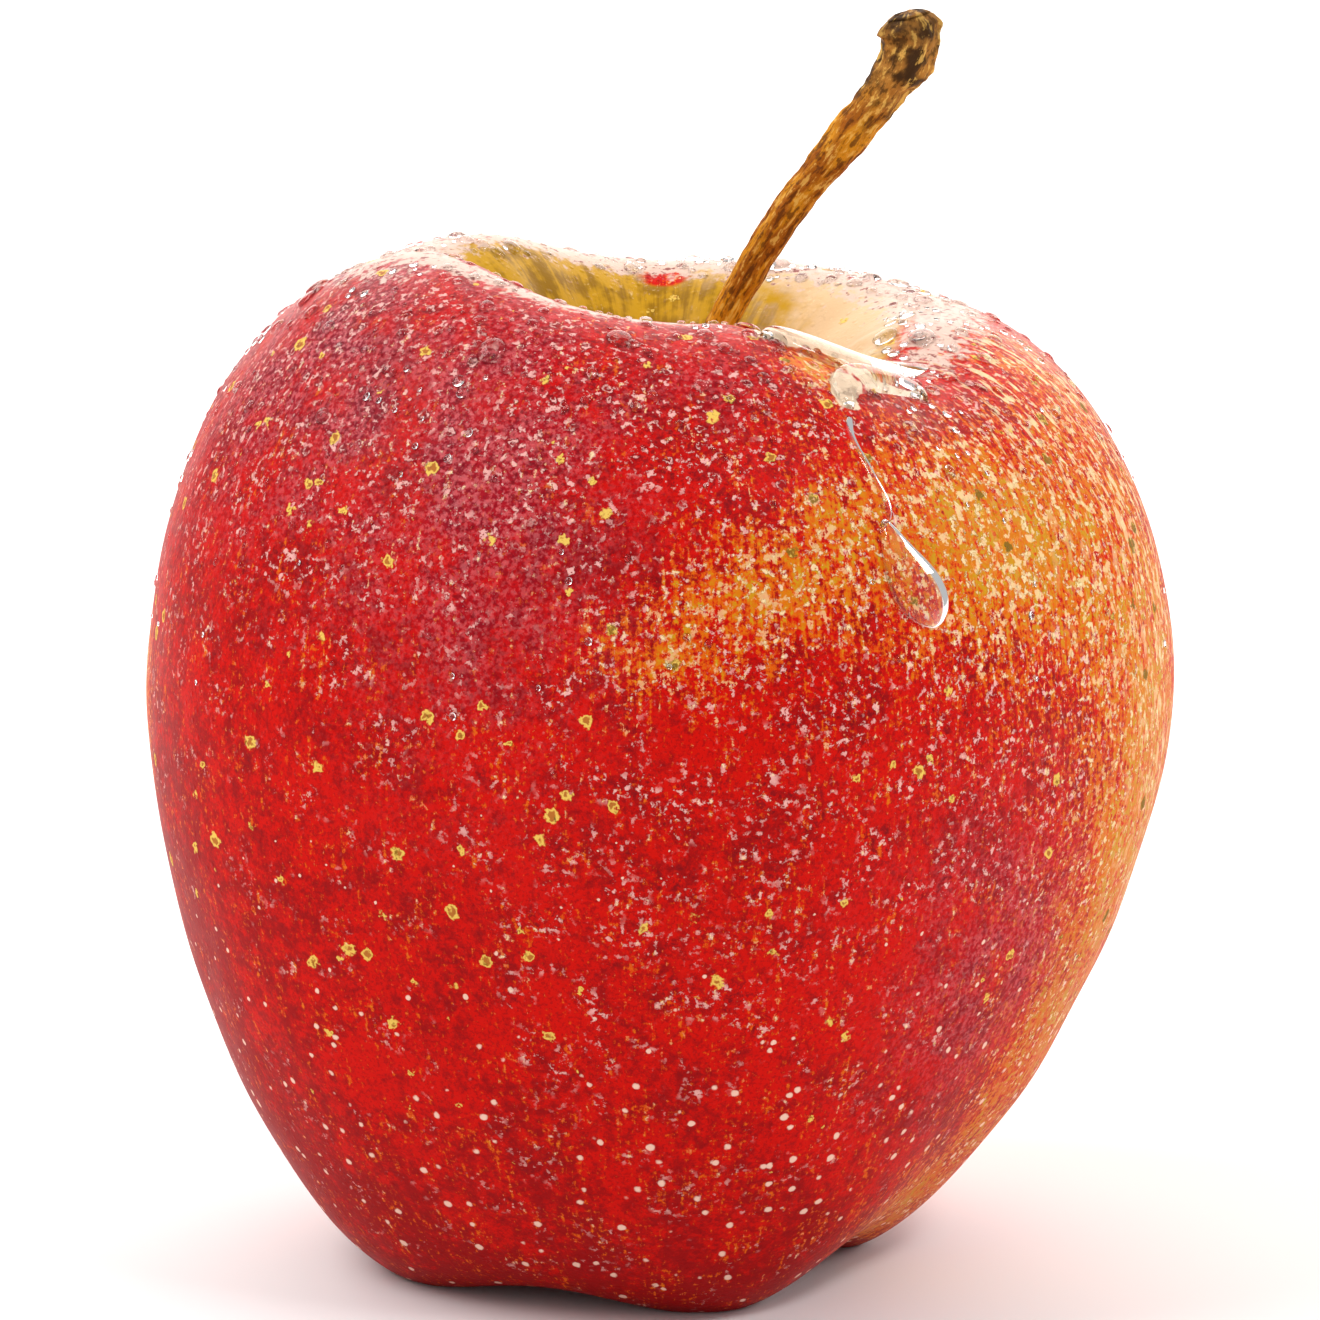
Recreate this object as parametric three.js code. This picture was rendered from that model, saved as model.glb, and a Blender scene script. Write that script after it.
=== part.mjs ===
// A ripe five-ribbed apple standing on the flat spots of its lobes, with its stalk and its dried calyx.
// Millimetres, +Z up, front at -Y. The origin is the middle of the fruit's outline, on the surface it rests on.
// Azimuths are in degrees, from the front towards +X.
import * as THREE from "three";

// Each rib in turn, going round from the front: where it stands, the height of its shoulder, how far its
// belly and its foot reach from the axis, and how deep the valley after it dips at the top and rises below.
const RIBS = [
  { azimuth: 11, shoulder: 71.6, belly: 37.7, foot: 19.2, dip: 3.3, rise: 3.0 },
  { azimuth: 84, shoulder: 69.4, belly: 37.5, foot: 13.6, dip: 0.4, rise: 1.6 },
  { azimuth: 156, shoulder: 70.6, belly: 37.8, foot: 17.2, dip: 1.2, rise: 1.5 },
  { azimuth: 229, shoulder: 73.2, belly: 38.1, foot: 20.1, dip: 2.0, rise: 1.8 },
  { azimuth: 301, shoulder: 75.3, belly: 38.7, foot: 20.4, dip: 0.2, rise: 1.7 },
];
const BELLY_HEIGHT = 42.6;
const SHOULDER_REACH = 19.1;
const VALLEY_BELLY_DEPTH = 1.4;
const VALLEY_SHOULDER_REACH = 0.9;
const FLAT_SPOT_DEPTH = 0.35;

// How far each meridian keeps its direction as it leaves these places, as Bezier handles.
const SHOULDER_ROUNDING = 9;
const UPPER_BELLY_ROUNDING = 16.6;
const LOWER_BELLY_ROUNDING = 19.6;
const FOOT_ROUNDING = 6.2;

const CAVITY_FLOOR_HEIGHT = 54;
const CAVITY_FLOOR_REACH = 4.5;
const CAVITY_LIP_ROUNDING = 7.1;
const BASIN_FLOOR_HEIGHT = 9.5;
const BASIN_FLOOR_REACH = 6;
const BASIN_LIP_ROUNDING = 5;

// Rows crowd towards the foot, where the skin turns under and the flat spots need rows of their own.
const FRUIT_COLUMNS = 70;
const CAVITY_ROWS = 9;
const UPPER_ROWS = 11;
const LOWER_ROWS = 13;
const BASIN_ROWS = 9;
const FOOT_CROWDING = 1.5;

// The stalk's line from its tip down to its foot, and its thickness at even steps along that line.
const STALK_LINE = [
  [18.3, -1.4, 91.7],
  [18.7, -1.4, 89.2],
  [16.9, -1.2, 86.0],
  [13.9, -0.9, 82.2],
  [8.9, -0.4, 76.0],
  [4.6, 0, 68.6],
  [1.5, 0.1, 62],
  [0.2, 0, 54.4],
];
const STALK_THICKNESS = [4.1, 3.9, 3.1, 3.0, 2.7, 2.5, 2.4, 2.3, 2.3, 2.8];
const STALK_STEPS = 34;
const STALK_SIDES = 14;

// One dried sepal, drawn at azimuth 90: it hangs from the basin's floor and its tip curls outwards.
const SEPAL_COUNT = 5;
const SEPAL_LINE = [
  [2.7, 0, 8.6],
  [1.9, 0, 5.8],
  [3.4, 0, 3.0],
  [6.0, 0, 3.3],
];
const SEPAL_WIDTH = 2.9;
const SEPAL_THICKNESS = 0.7;
const SEPAL_TIP_SHARE = 0.12;
const SEPAL_STEPS = 10;
const SEPAL_SIDES = 8;
const FIRST_SEPAL_AZIMUTH = 47;

// The tuft of dried stamens between the sepals, a cone with a ragged outline.
const TUFT_TOP = 8.8;
const TUFT_BOTTOM = 4.4;
const TUFT_RADIUS = 1.25;
const TUFT_FRAY = 0.22;
const TUFT_POINTS = 9;
const TUFT_ROWS = 6;

const SKIN_RED = "#b3161c";
const STALK_BROWN = "#a5691f";
const SEPAL_BROWN = "#6b5a38";
const TUFT_BROWN = "#4a3620";

/** A value that runs smoothly from a at share 0 to b at share 1. */
function blend(a, b, share) {
  const eased = (1 - Math.cos(Math.PI * share)) / 2;
  return a * (1 - eased) + b * eased;
}

/** The fruit's leading sizes at an azimuth, between the ribs on both sides of it. */
function sizesAt(azimuth) {
  const turned = THREE.MathUtils.euclideanModulo(azimuth - RIBS[0].azimuth, 360) + RIBS[0].azimuth;
  const index = RIBS.findLastIndex((rib) => rib.azimuth <= turned);
  const here = RIBS[index];
  const next = RIBS[(index + 1) % RIBS.length];
  const span = THREE.MathUtils.euclideanModulo(next.azimuth - here.azimuth, 360);
  const share = (turned - here.azimuth) / span;
  const valley = Math.sin(Math.PI * share) ** 2;
  return {
    shoulderReach: SHOULDER_REACH + VALLEY_SHOULDER_REACH * valley,
    shoulder: blend(here.shoulder, next.shoulder, share) - here.dip * valley,
    belly: blend(here.belly, next.belly, share) - VALLEY_BELLY_DEPTH * valley,
    footReach: blend(here.foot, next.foot, share),
    foot: here.rise * valley - FLAT_SPOT_DEPTH,
  };
}

/** A cubic curve in the plane of a meridian, each point given as reach from the axis and height. */
function arc(start, leave, arrive, end) {
  return new THREE.CubicBezierCurve(...[start, leave, arrive, end].map((p) => new THREE.Vector2(...p)));
}

/** Points along a curve without its first one, at shares set by spacing. */
function pointsAfterStart(curve, rows, spacing) {
  return Array.from({ length: rows }, (_, index) => curve.getPoint(spacing((index + 1) / rows)));
}

/** The points of one meridian from beside the cavity's centre to beside the basin's centre. */
function meridian(azimuth) {
  const s = sizesAt(azimuth);
  const shoulder = [s.shoulderReach, s.shoulder];
  const belly = [s.belly, BELLY_HEIGHT];
  const foot = [s.footReach, s.foot];
  const cavity = arc(
    [0, CAVITY_FLOOR_HEIGHT],
    [CAVITY_FLOOR_REACH, CAVITY_FLOOR_HEIGHT],
    [s.shoulderReach - CAVITY_LIP_ROUNDING, s.shoulder],
    shoulder,
  );
  const upper = arc(
    shoulder,
    [s.shoulderReach + SHOULDER_ROUNDING, s.shoulder],
    [s.belly, BELLY_HEIGHT + UPPER_BELLY_ROUNDING],
    belly,
  );
  const lower = arc(
    belly,
    [s.belly, BELLY_HEIGHT - LOWER_BELLY_ROUNDING],
    [s.footReach + FOOT_ROUNDING, s.foot],
    foot,
  );
  const basin = arc(
    foot,
    [s.footReach - BASIN_LIP_ROUNDING, s.foot],
    [BASIN_FLOOR_REACH, BASIN_FLOOR_HEIGHT],
    [0, BASIN_FLOOR_HEIGHT],
  );
  const even = (share) => share;
  const crowdedAtEnd = (share) => 1 - (1 - share) ** FOOT_CROWDING;
  const crowdedAtStart = (share) => share ** FOOT_CROWDING;
  return [
    ...pointsAfterStart(cavity, CAVITY_ROWS, even),
    ...pointsAfterStart(upper, UPPER_ROWS, even),
    ...pointsAfterStart(lower, LOWER_ROWS, crowdedAtEnd),
    ...pointsAfterStart(basin, BASIN_ROWS, crowdedAtStart).slice(0, -1),
  ];
}

/** A closed skin over rings of points listed from the top down, each ring turning from the front to +X. */
function closeRings(rings, top, bottom) {
  const sides = rings[0].length;
  const points = [top, ...rings.flat(), bottom];
  const at = (row, side) => 1 + row * sides + (side % sides);
  const faces = [];
  for (let side = 0; side < sides; side += 1) {
    faces.push(0, at(0, side), at(0, side + 1));
    for (let row = 0; row < rings.length - 1; row += 1) {
      faces.push(at(row, side), at(row + 1, side), at(row + 1, side + 1));
      faces.push(at(row, side), at(row + 1, side + 1), at(row, side + 1));
    }
    faces.push(points.length - 1, at(rings.length - 1, side + 1), at(rings.length - 1, side));
  }
  const geometry = new THREE.BufferGeometry().setFromPoints(points);
  geometry.setIndex(faces);
  geometry.computeVertexNormals();
  return geometry;
}

/** The whole fruit, cut flat where its lobes meet the surface it rests on. */
function fruitGeometry() {
  const step = 360 / FRUIT_COLUMNS;
  const meridians = Array.from({ length: FRUIT_COLUMNS }, (_, column) => meridian(column * step));
  const rings = meridians[0].map((_, row) =>
    meridians.map((points, column) => {
      const { x: reach, y: height } = points[row];
      const turn = THREE.MathUtils.degToRad(column * step);
      return new THREE.Vector3(reach * Math.sin(turn), -reach * Math.cos(turn), Math.max(height, 0));
    }),
  );
  const cavityCentre = new THREE.Vector3(0, 0, CAVITY_FLOOR_HEIGHT);
  const basinCentre = new THREE.Vector3(0, 0, BASIN_FLOOR_HEIGHT);
  return closeRings(rings, cavityCentre, basinCentre);
}

/** An oval section swept down a line, with half its depth and half its width given along the line. */
function sweep(line, steps, sides, halfDepth, halfWidth) {
  const across = new THREE.Vector3(0, 1, 0);
  const rings = Array.from({ length: steps - 1 }, (_, index) => {
    const share = (index + 1) / steps;
    const centre = line.getPointAt(share);
    const along = line.getTangentAt(share);
    const depth = new THREE.Vector3().crossVectors(along, across).normalize();
    const width = new THREE.Vector3().crossVectors(depth, along);
    return Array.from({ length: sides }, (__, side) => {
      const turn = (2 * Math.PI * side) / sides;
      return centre
        .clone()
        .addScaledVector(depth, halfDepth(share) * Math.cos(turn))
        .addScaledVector(width, halfWidth(share) * Math.sin(turn));
    });
  });
  return closeRings(rings, line.getPointAt(0), line.getPointAt(1));
}

/** How full a swept piece is along its line: 1 in the middle, rounding off over its two ends. */
function rounded(share, endShare) {
  const fromEnd = Math.min(share, 1 - share) / endShare;
  return fromEnd >= 1 ? 1 : Math.sqrt(1 - (1 - fromEnd) ** 2);
}

/** The stalk, a woody rod that swells at a bud scar and ends in a knob. */
function stalkGeometry() {
  const line = new THREE.CatmullRomCurve3(STALK_LINE.map((point) => new THREE.Vector3(...point)));
  const thickness = new THREE.SplineCurve(STALK_THICKNESS.map((size, index) => new THREE.Vector2(index, size)));
  const half = (share) => (thickness.getPoint(share).y / 2) * rounded(share, 0.04);
  return sweep(line, STALK_STEPS, STALK_SIDES, half, half);
}

/** One sepal, a thin blade that narrows from its broad foot to its curled tip. */
function sepalGeometry() {
  const line = new THREE.CubicBezierCurve3(...SEPAL_LINE.map((point) => new THREE.Vector3(...point)));
  const taper = (share) => rounded(share, SEPAL_TIP_SHARE) * (1 - 0.75 * share ** 1.6);
  const halfDepth = (share) => (SEPAL_THICKNESS / 2) * rounded(share, SEPAL_TIP_SHARE);
  const halfWidth = (share) => (SEPAL_WIDTH / 2) * taper(share);
  return sweep(line, SEPAL_STEPS, SEPAL_SIDES, halfDepth, halfWidth);
}

/** The tuft of stamens as one ragged cone. */
function tuftGeometry() {
  const sides = TUFT_POINTS * 2;
  const rings = Array.from({ length: TUFT_ROWS }, (_, row) => {
    const share = row / TUFT_ROWS;
    const radius = TUFT_RADIUS * (1 - 0.6 * share);
    const height = THREE.MathUtils.lerp(TUFT_TOP, TUFT_BOTTOM, share);
    return Array.from({ length: sides }, (__, side) => {
      const turn = (2 * Math.PI * side) / sides;
      const reach = radius * (1 - TUFT_FRAY * (side % 2));
      return new THREE.Vector3(reach * Math.sin(turn), -reach * Math.cos(turn), height);
    });
  });
  return closeRings(rings, new THREE.Vector3(0, 0, TUFT_TOP), new THREE.Vector3(0, 0, TUFT_BOTTOM));
}

/** A named piece in its own colour and gloss. */
function piece(name, geometry, color, roughness) {
  const mesh = new THREE.Mesh(geometry, new THREE.MeshStandardMaterial({ color, roughness, metalness: 0 }));
  mesh.name = name;
  return mesh;
}

/** The five sepals, each standing at its own azimuth round the eye of the basin. */
function sepals() {
  return Array.from({ length: SEPAL_COUNT }, (_, index) => {
    const sepal = piece(`sepal_${index + 1}`, sepalGeometry(), SEPAL_BROWN, 0.85);
    const azimuth = FIRST_SEPAL_AZIMUTH + (index * 360) / SEPAL_COUNT;
    sepal.rotation.z = THREE.MathUtils.degToRad(azimuth - 90);
    return sepal;
  });
}

const apple = new THREE.Group();
apple.add(piece("apple_body", fruitGeometry(), SKIN_RED, 0.3));
apple.add(piece("stem", stalkGeometry(), STALK_BROWN, 0.7));
apple.add(...sepals());
apple.add(piece("stamen_tuft", tuftGeometry(), TUFT_BROWN, 0.9));

const outline = new THREE.Box3().setFromObject(apple);
const middle = outline.getCenter(new THREE.Vector3());
apple.position.set(-middle.x, -middle.y, 0);

export default apple;
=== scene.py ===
"""A ripe, wet, five-ribbed apple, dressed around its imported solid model.

Lengths in the classes are millimetres and become metres where a mesh is made. An azimuth is in degrees, from
the front (-Y) towards +X. A walk says how far down a meridian a place lies: 0 is the centre of the stalk
cavity, 1 the top of the shoulder, 2 the belly, 3 the foot and 4 the centre of the basin underneath.
"""

import logging
import math
from collections.abc import Callable, Sequence
from dataclasses import dataclass, field
from enum import Enum

import bpy
import numpy as np
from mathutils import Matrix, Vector


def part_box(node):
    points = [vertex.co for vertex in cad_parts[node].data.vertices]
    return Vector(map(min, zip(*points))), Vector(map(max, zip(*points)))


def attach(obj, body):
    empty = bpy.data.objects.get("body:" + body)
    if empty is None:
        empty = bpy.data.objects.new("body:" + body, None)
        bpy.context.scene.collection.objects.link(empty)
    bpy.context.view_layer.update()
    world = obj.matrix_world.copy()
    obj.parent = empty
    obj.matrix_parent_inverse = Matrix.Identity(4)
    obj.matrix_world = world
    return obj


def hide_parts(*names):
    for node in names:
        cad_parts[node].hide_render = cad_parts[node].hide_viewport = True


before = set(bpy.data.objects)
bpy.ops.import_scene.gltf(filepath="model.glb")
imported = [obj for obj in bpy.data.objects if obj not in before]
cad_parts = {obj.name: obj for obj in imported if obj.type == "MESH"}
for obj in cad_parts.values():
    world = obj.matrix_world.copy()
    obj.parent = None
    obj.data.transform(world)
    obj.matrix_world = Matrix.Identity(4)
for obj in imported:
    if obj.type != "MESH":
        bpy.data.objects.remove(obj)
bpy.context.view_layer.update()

MM = 0.001
WELD_DISTANCE = 1e-7
BODY = "root"
LOG = logging.getLogger("apple")

Array = np.ndarray
Colour = tuple[float, float, float]
Socket = bpy.types.NodeSocket
Section = Callable[[Array, Array], Array]


class Slot(Enum):
    """A material slot of the record."""

    APPLE_SKIN = "apple_skin"
    STEM_BARK = "stem_bark"
    DRIED_SEPAL = "dried_sepal"
    DRIED_STAMEN = "dried_stamen"
    WATER = "water"


class Maths(Enum):
    """What a maths node does with its two inputs."""

    ADD = "ADD"
    SUBTRACT = "SUBTRACT"
    MULTIPLY = "MULTIPLY"
    DIVIDE = "DIVIDE"
    MAXIMUM = "MAXIMUM"


# ---------------------------------------------------------------- form: curves and fields


def bezier(start: Array, leave: Array, arrive: Array, end: Array, share: Array) -> Array:
    """A cubic curve's value at a share of its way from start to end."""
    rest = 1 - share
    return start * rest**3 + 3 * leave * share * rest**2 + 3 * arrive * share**2 * rest + end * share**3


def eased_between(before: Array, start: Array, end: Array, after: Array, share: Array) -> Array:
    """A value eased from start to end, so that it runs on smoothly from what comes before and after.

    Args:
        before: The value at the point before the start.
        start: The value at share 0.
        end: The value at share 1.
        after: The value at the point after the end.
        share: How far along each place is.

    Returns:
        The eased values.
    """
    first = (end - before) * share
    second = (2 * before - 5 * start + 4 * end - after) * share**2
    third = (3 * start - before - 3 * end + after) * share**3
    return 0.5 * (2 * start + first + second + third)


def smooth_step(value: Array, low: float, high: float) -> Array:
    """0 up to low, 1 from high on, and a smooth rise between them."""
    share = np.clip((value - low) / (high - low), 0, 1)
    return share * share * (3 - 2 * share)


def turned_round(azimuth: Array, centre: float) -> Array:
    """How far an azimuth lies from a centre, from -180 to 180 degrees."""
    return (azimuth - centre + 180) % 360 - 180


def soft_lumps(points: Array, wavelength: float, waves: int, seed: int) -> Array:
    """A gentle random field, about -1 to 1, made of plane waves.

    Args:
        points: Places in metres, one row each.
        wavelength: The mean length of a wave, in millimetres.
        waves: How many waves are added up.
        seed: What the random directions and phases grow from.

    Returns:
        One value for each point.
    """
    rng = np.random.default_rng(seed)
    directions = rng.normal(size=(waves, 3))
    directions /= np.linalg.norm(directions, axis=1, keepdims=True)
    lengths = wavelength * rng.uniform(0.7, 1.5, waves) * MM
    phases = rng.uniform(0, 2 * math.pi, waves)
    turns = 2 * math.pi * (points @ directions.T) / lengths + phases
    return np.sin(turns).sum(axis=1) / math.sqrt(waves)


@dataclass(frozen=True)
class Line:
    """A smooth line through points in millimetres, walked by share of its length."""

    points: tuple[tuple[float, float, float], ...]
    samples_per_span: int = 24
    look_ahead: float = 0.02

    def _dense(self) -> tuple[Array, Array]:
        """Closely spaced points on the line, and each one's share of the length.

        Returns:
            A row of three millimetres for each point, and the shares from 0 to 1.
        """
        knots = np.array(self.points, float)
        padded = np.vstack([2 * knots[0] - knots[1], knots, 2 * knots[-1] - knots[-2]])
        dense = []
        for a, b, c, d in zip(padded[:-3], padded[1:-2], padded[2:-1], padded[3:], strict=True):
            t = np.linspace(0, 1, self.samples_per_span, endpoint=False)[:, None]
            dense.append(eased_between(a, b, c, d, t))
        dense = np.vstack([*dense, knots[-1:]])
        steps = np.linalg.norm(np.diff(dense, axis=0), axis=1)
        along = np.concatenate([[0], np.cumsum(steps)])
        return dense, along / along[-1]

    def length(self) -> float:
        """The line's length in millimetres."""
        dense, _ = self._dense()
        return float(np.linalg.norm(np.diff(dense, axis=0), axis=1).sum())

    def at(self, share: Array) -> tuple[Array, Array]:
        """The points at these shares of the length, and the directions there.

        Args:
            share: How far along the line each place is, from 0 to 1.

        Returns:
            The points in millimetres, and a unit vector along the line at each.
        """
        dense, along = self._dense()

        def place(where: Array) -> Array:
            """The points at these shares, kept within the line."""
            inside = np.clip(where, 0, 1)
            return np.stack([np.interp(inside, along, dense[:, axis]) for axis in range(3)], axis=-1)

        heading = place(share + self.look_ahead) - place(share - self.look_ahead)
        return place(share), heading / np.linalg.norm(heading, axis=-1, keepdims=True)


@dataclass(frozen=True)
class Rib:
    """One rib of the fruit and the valley after it.

    The shoulder is a height, and the belly and the foot are reaches from the axis. In the valley the shoulder
    sinks by the dip, and the foot lifts by the rise.
    """

    azimuth: float
    shoulder: float
    belly: float
    foot: float
    dip: float
    rise: float


@dataclass(frozen=True)
class Patch:
    """A soft-edged oval of a shade on the skin, placed by azimuth and walk."""

    azimuth: float
    walk: float
    half_width: float
    half_height: float
    strength: float = 1.0
    steepness: float = 1.15

    def weight(self, azimuth: Array, walk: Array) -> Array:
        """How strongly the patch shows at each place.

        Args:
            azimuth: Degrees round the fruit.
            walk: How far down the meridian.

        Returns:
            One strength for each place, from 0 to 1.
        """
        across = turned_round(azimuth, self.azimuth) / self.half_width
        down = (walk - self.walk) / self.half_height
        return self.strength * np.exp(-((across**2 + down**2) ** self.steepness))


def overlaid(patches: Sequence[Patch], azimuth: Array, walk: Array) -> Array:
    """The joint strength of several patches, where overlapping ones add up softly towards 1.

    Args:
        patches: The patches.
        azimuth: Degrees round the fruit.
        walk: How far down the meridian.

    Returns:
        One strength for each place, from 0 to 1.
    """
    left = np.ones_like(walk)
    for patch in patches:
        left = left * (1 - patch.weight(azimuth, walk))
    return 1 - left


# ---------------------------------------------------------------- modelling by hand


def clear_selection() -> None:
    """Deselects every object, since the frame's nodes come in selected."""
    if bpy.context.object is not None and bpy.context.object.mode != "OBJECT":
        bpy.ops.object.mode_set(mode="OBJECT")
    bpy.ops.object.select_all(action="DESELECT")


def turned(name: str, profile: Sequence[tuple[float, float]], steps: int) -> bpy.types.Object:
    """Spins a profile into a closed turned blank.

    Args:
        name: The piece's name.
        profile: Reach from the axis and height of each point in metres, from the top pole to the bottom pole.
        steps: How many columns the blank has.

    Returns:
        The blank, with the share of the profile at each vertex in its "share" attribute.
    """
    clear_selection()
    bpy.ops.mesh.primitive_plane_add(size=MM)
    piece = bpy.context.object
    piece.name = name
    piece.data.name = name
    bpy.ops.object.mode_set(mode="EDIT")
    bpy.ops.mesh.select_all(action="SELECT")
    bpy.ops.mesh.merge(type="CENTER")
    bpy.ops.transform.translate(value=(profile[0][0], 0, profile[0][1]))
    for (reach, height), (next_reach, next_height) in zip(profile[:-1], profile[1:], strict=True):
        move = (next_reach - reach, 0, next_height - height)
        bpy.ops.mesh.extrude_vertices_move(TRANSFORM_OT_translate={"value": move})
    bpy.ops.object.mode_set(mode="OBJECT")
    shares = piece.data.attributes.new("share", "FLOAT", "POINT")
    shares.data.foreach_set("value", np.linspace(0, 1, len(profile), dtype=np.float32))
    bpy.ops.object.mode_set(mode="EDIT")
    bpy.ops.mesh.select_all(action="SELECT")
    bpy.ops.mesh.spin(steps=steps, angle=2 * math.pi, center=(0, 0, 0), axis=(0, 0, 1))
    bpy.ops.mesh.select_all(action="SELECT")
    bpy.ops.mesh.remove_doubles(threshold=WELD_DISTANCE)
    bpy.ops.mesh.normals_make_consistent(inside=False)
    bpy.ops.object.mode_set(mode="OBJECT")
    return piece


def read_points(mesh: bpy.types.Mesh) -> Array:
    """A mesh's vertices as rows of three numbers.

    Args:
        mesh: The mesh.

    Returns:
        One row for each vertex.
    """
    flat = np.empty(len(mesh.vertices) * 3)
    mesh.vertices.foreach_get("co", flat)
    return flat.reshape(-1, 3)


def write_points(mesh: bpy.types.Mesh, points: Array) -> None:
    """Moves a mesh's vertices to these places."""
    mesh.vertices.foreach_set("co", np.ascontiguousarray(points, dtype=np.float32).ravel())
    mesh.update()


def read_shares(mesh: bpy.types.Mesh) -> Array:
    """The share of the profile at each vertex of a turned blank.

    Args:
        mesh: The blank's mesh.

    Returns:
        One share for each vertex, from 0 at the top pole to 1 at the bottom pole.
    """
    values = np.empty(len(mesh.vertices), dtype=np.float32)
    mesh.attributes["share"].data.foreach_get("value", values)
    return values.astype(float)


def turns_of(points: Array) -> Array:
    """Each point's azimuth about the Z axis."""
    return np.degrees(np.arctan2(points[:, 0], -points[:, 1]))


def give_field(mesh: bpy.types.Mesh, name: str, values: Array) -> None:
    """Stores one number, or one vector, for each vertex.

    Args:
        mesh: The mesh.
        name: What a finish reads it by.
        values: A number or a row for each vertex.
    """
    kind, key = ("FLOAT", "value") if values.ndim == 1 else ("FLOAT_VECTOR", "vector")
    attribute = mesh.attributes.new(name, kind, "POINT")
    attribute.data.foreach_set(key, np.ascontiguousarray(values, dtype=np.float32).ravel())


def finish_normals(piece: bpy.types.Object) -> None:
    """Closes the seam and the poles, turns the faces outwards and shades them smooth.

    Args:
        piece: The piece, which becomes the active one.
    """
    clear_selection()
    piece.select_set(True)
    bpy.context.view_layer.objects.active = piece
    bpy.ops.object.mode_set(mode="EDIT")
    bpy.ops.mesh.select_all(action="SELECT")
    bpy.ops.mesh.remove_doubles(threshold=WELD_DISTANCE)
    bpy.ops.mesh.normals_make_consistent(inside=False)
    bpy.ops.object.mode_set(mode="OBJECT")
    bpy.ops.object.shade_smooth()


def stamped(name: str, template: bpy.types.Object, places: Array) -> bpy.types.Object:
    """One piece made of copies of a template, which is used up.

    Args:
        name: The new piece's name.
        template: The shape that repeats.
        places: A 4 by 4 matrix for each copy.

    Returns:
        The joined copies.
    """
    points = read_points(template.data)
    ones = np.hstack([points, np.ones((len(points), 1))])
    copies = np.einsum("nij,vj->nvi", places, ones)[:, :, :3].reshape(-1, 3)
    faces = [list(polygon.vertices) for polygon in template.data.polygons]
    shift = len(points)
    starts = [copy * shift for copy in range(len(places))]
    all_faces = [[corner + start for corner in face] for start in starts for face in faces]
    mesh = bpy.data.meshes.new(name)
    mesh.from_pydata(copies.tolist(), [], all_faces)
    for source in template.data.attributes:
        if source.domain == "POINT" and source.data_type == "FLOAT" and not source.is_internal:
            values = np.empty(shift, dtype=np.float32)
            source.data.foreach_get("value", values)
            give_field(mesh, source.name, np.tile(values, len(places)))
    mesh.shade_smooth()
    piece = bpy.data.objects.new(name, mesh)
    bpy.context.scene.collection.objects.link(piece)
    bpy.data.objects.remove(template)
    return piece


def settle(
    piece: bpy.types.Object, material: bpy.types.Material, stands_for: Sequence[str] = ()
) -> None:
    """Dresses a finished piece, ties it to the frame and reports it.

    Args:
        piece: The finished piece.
        material: Its finish.
        stands_for: The solid nodes that it replaces.
    """
    piece.data.materials.clear()
    piece.data.materials.append(material)
    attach(piece, BODY)
    if stands_for:
        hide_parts(*stands_for)
    LOG.info("%s: %d faces, %s", piece.name, len(piece.data.polygons), material.name)


# ---------------------------------------------------------------- finishes


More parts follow.
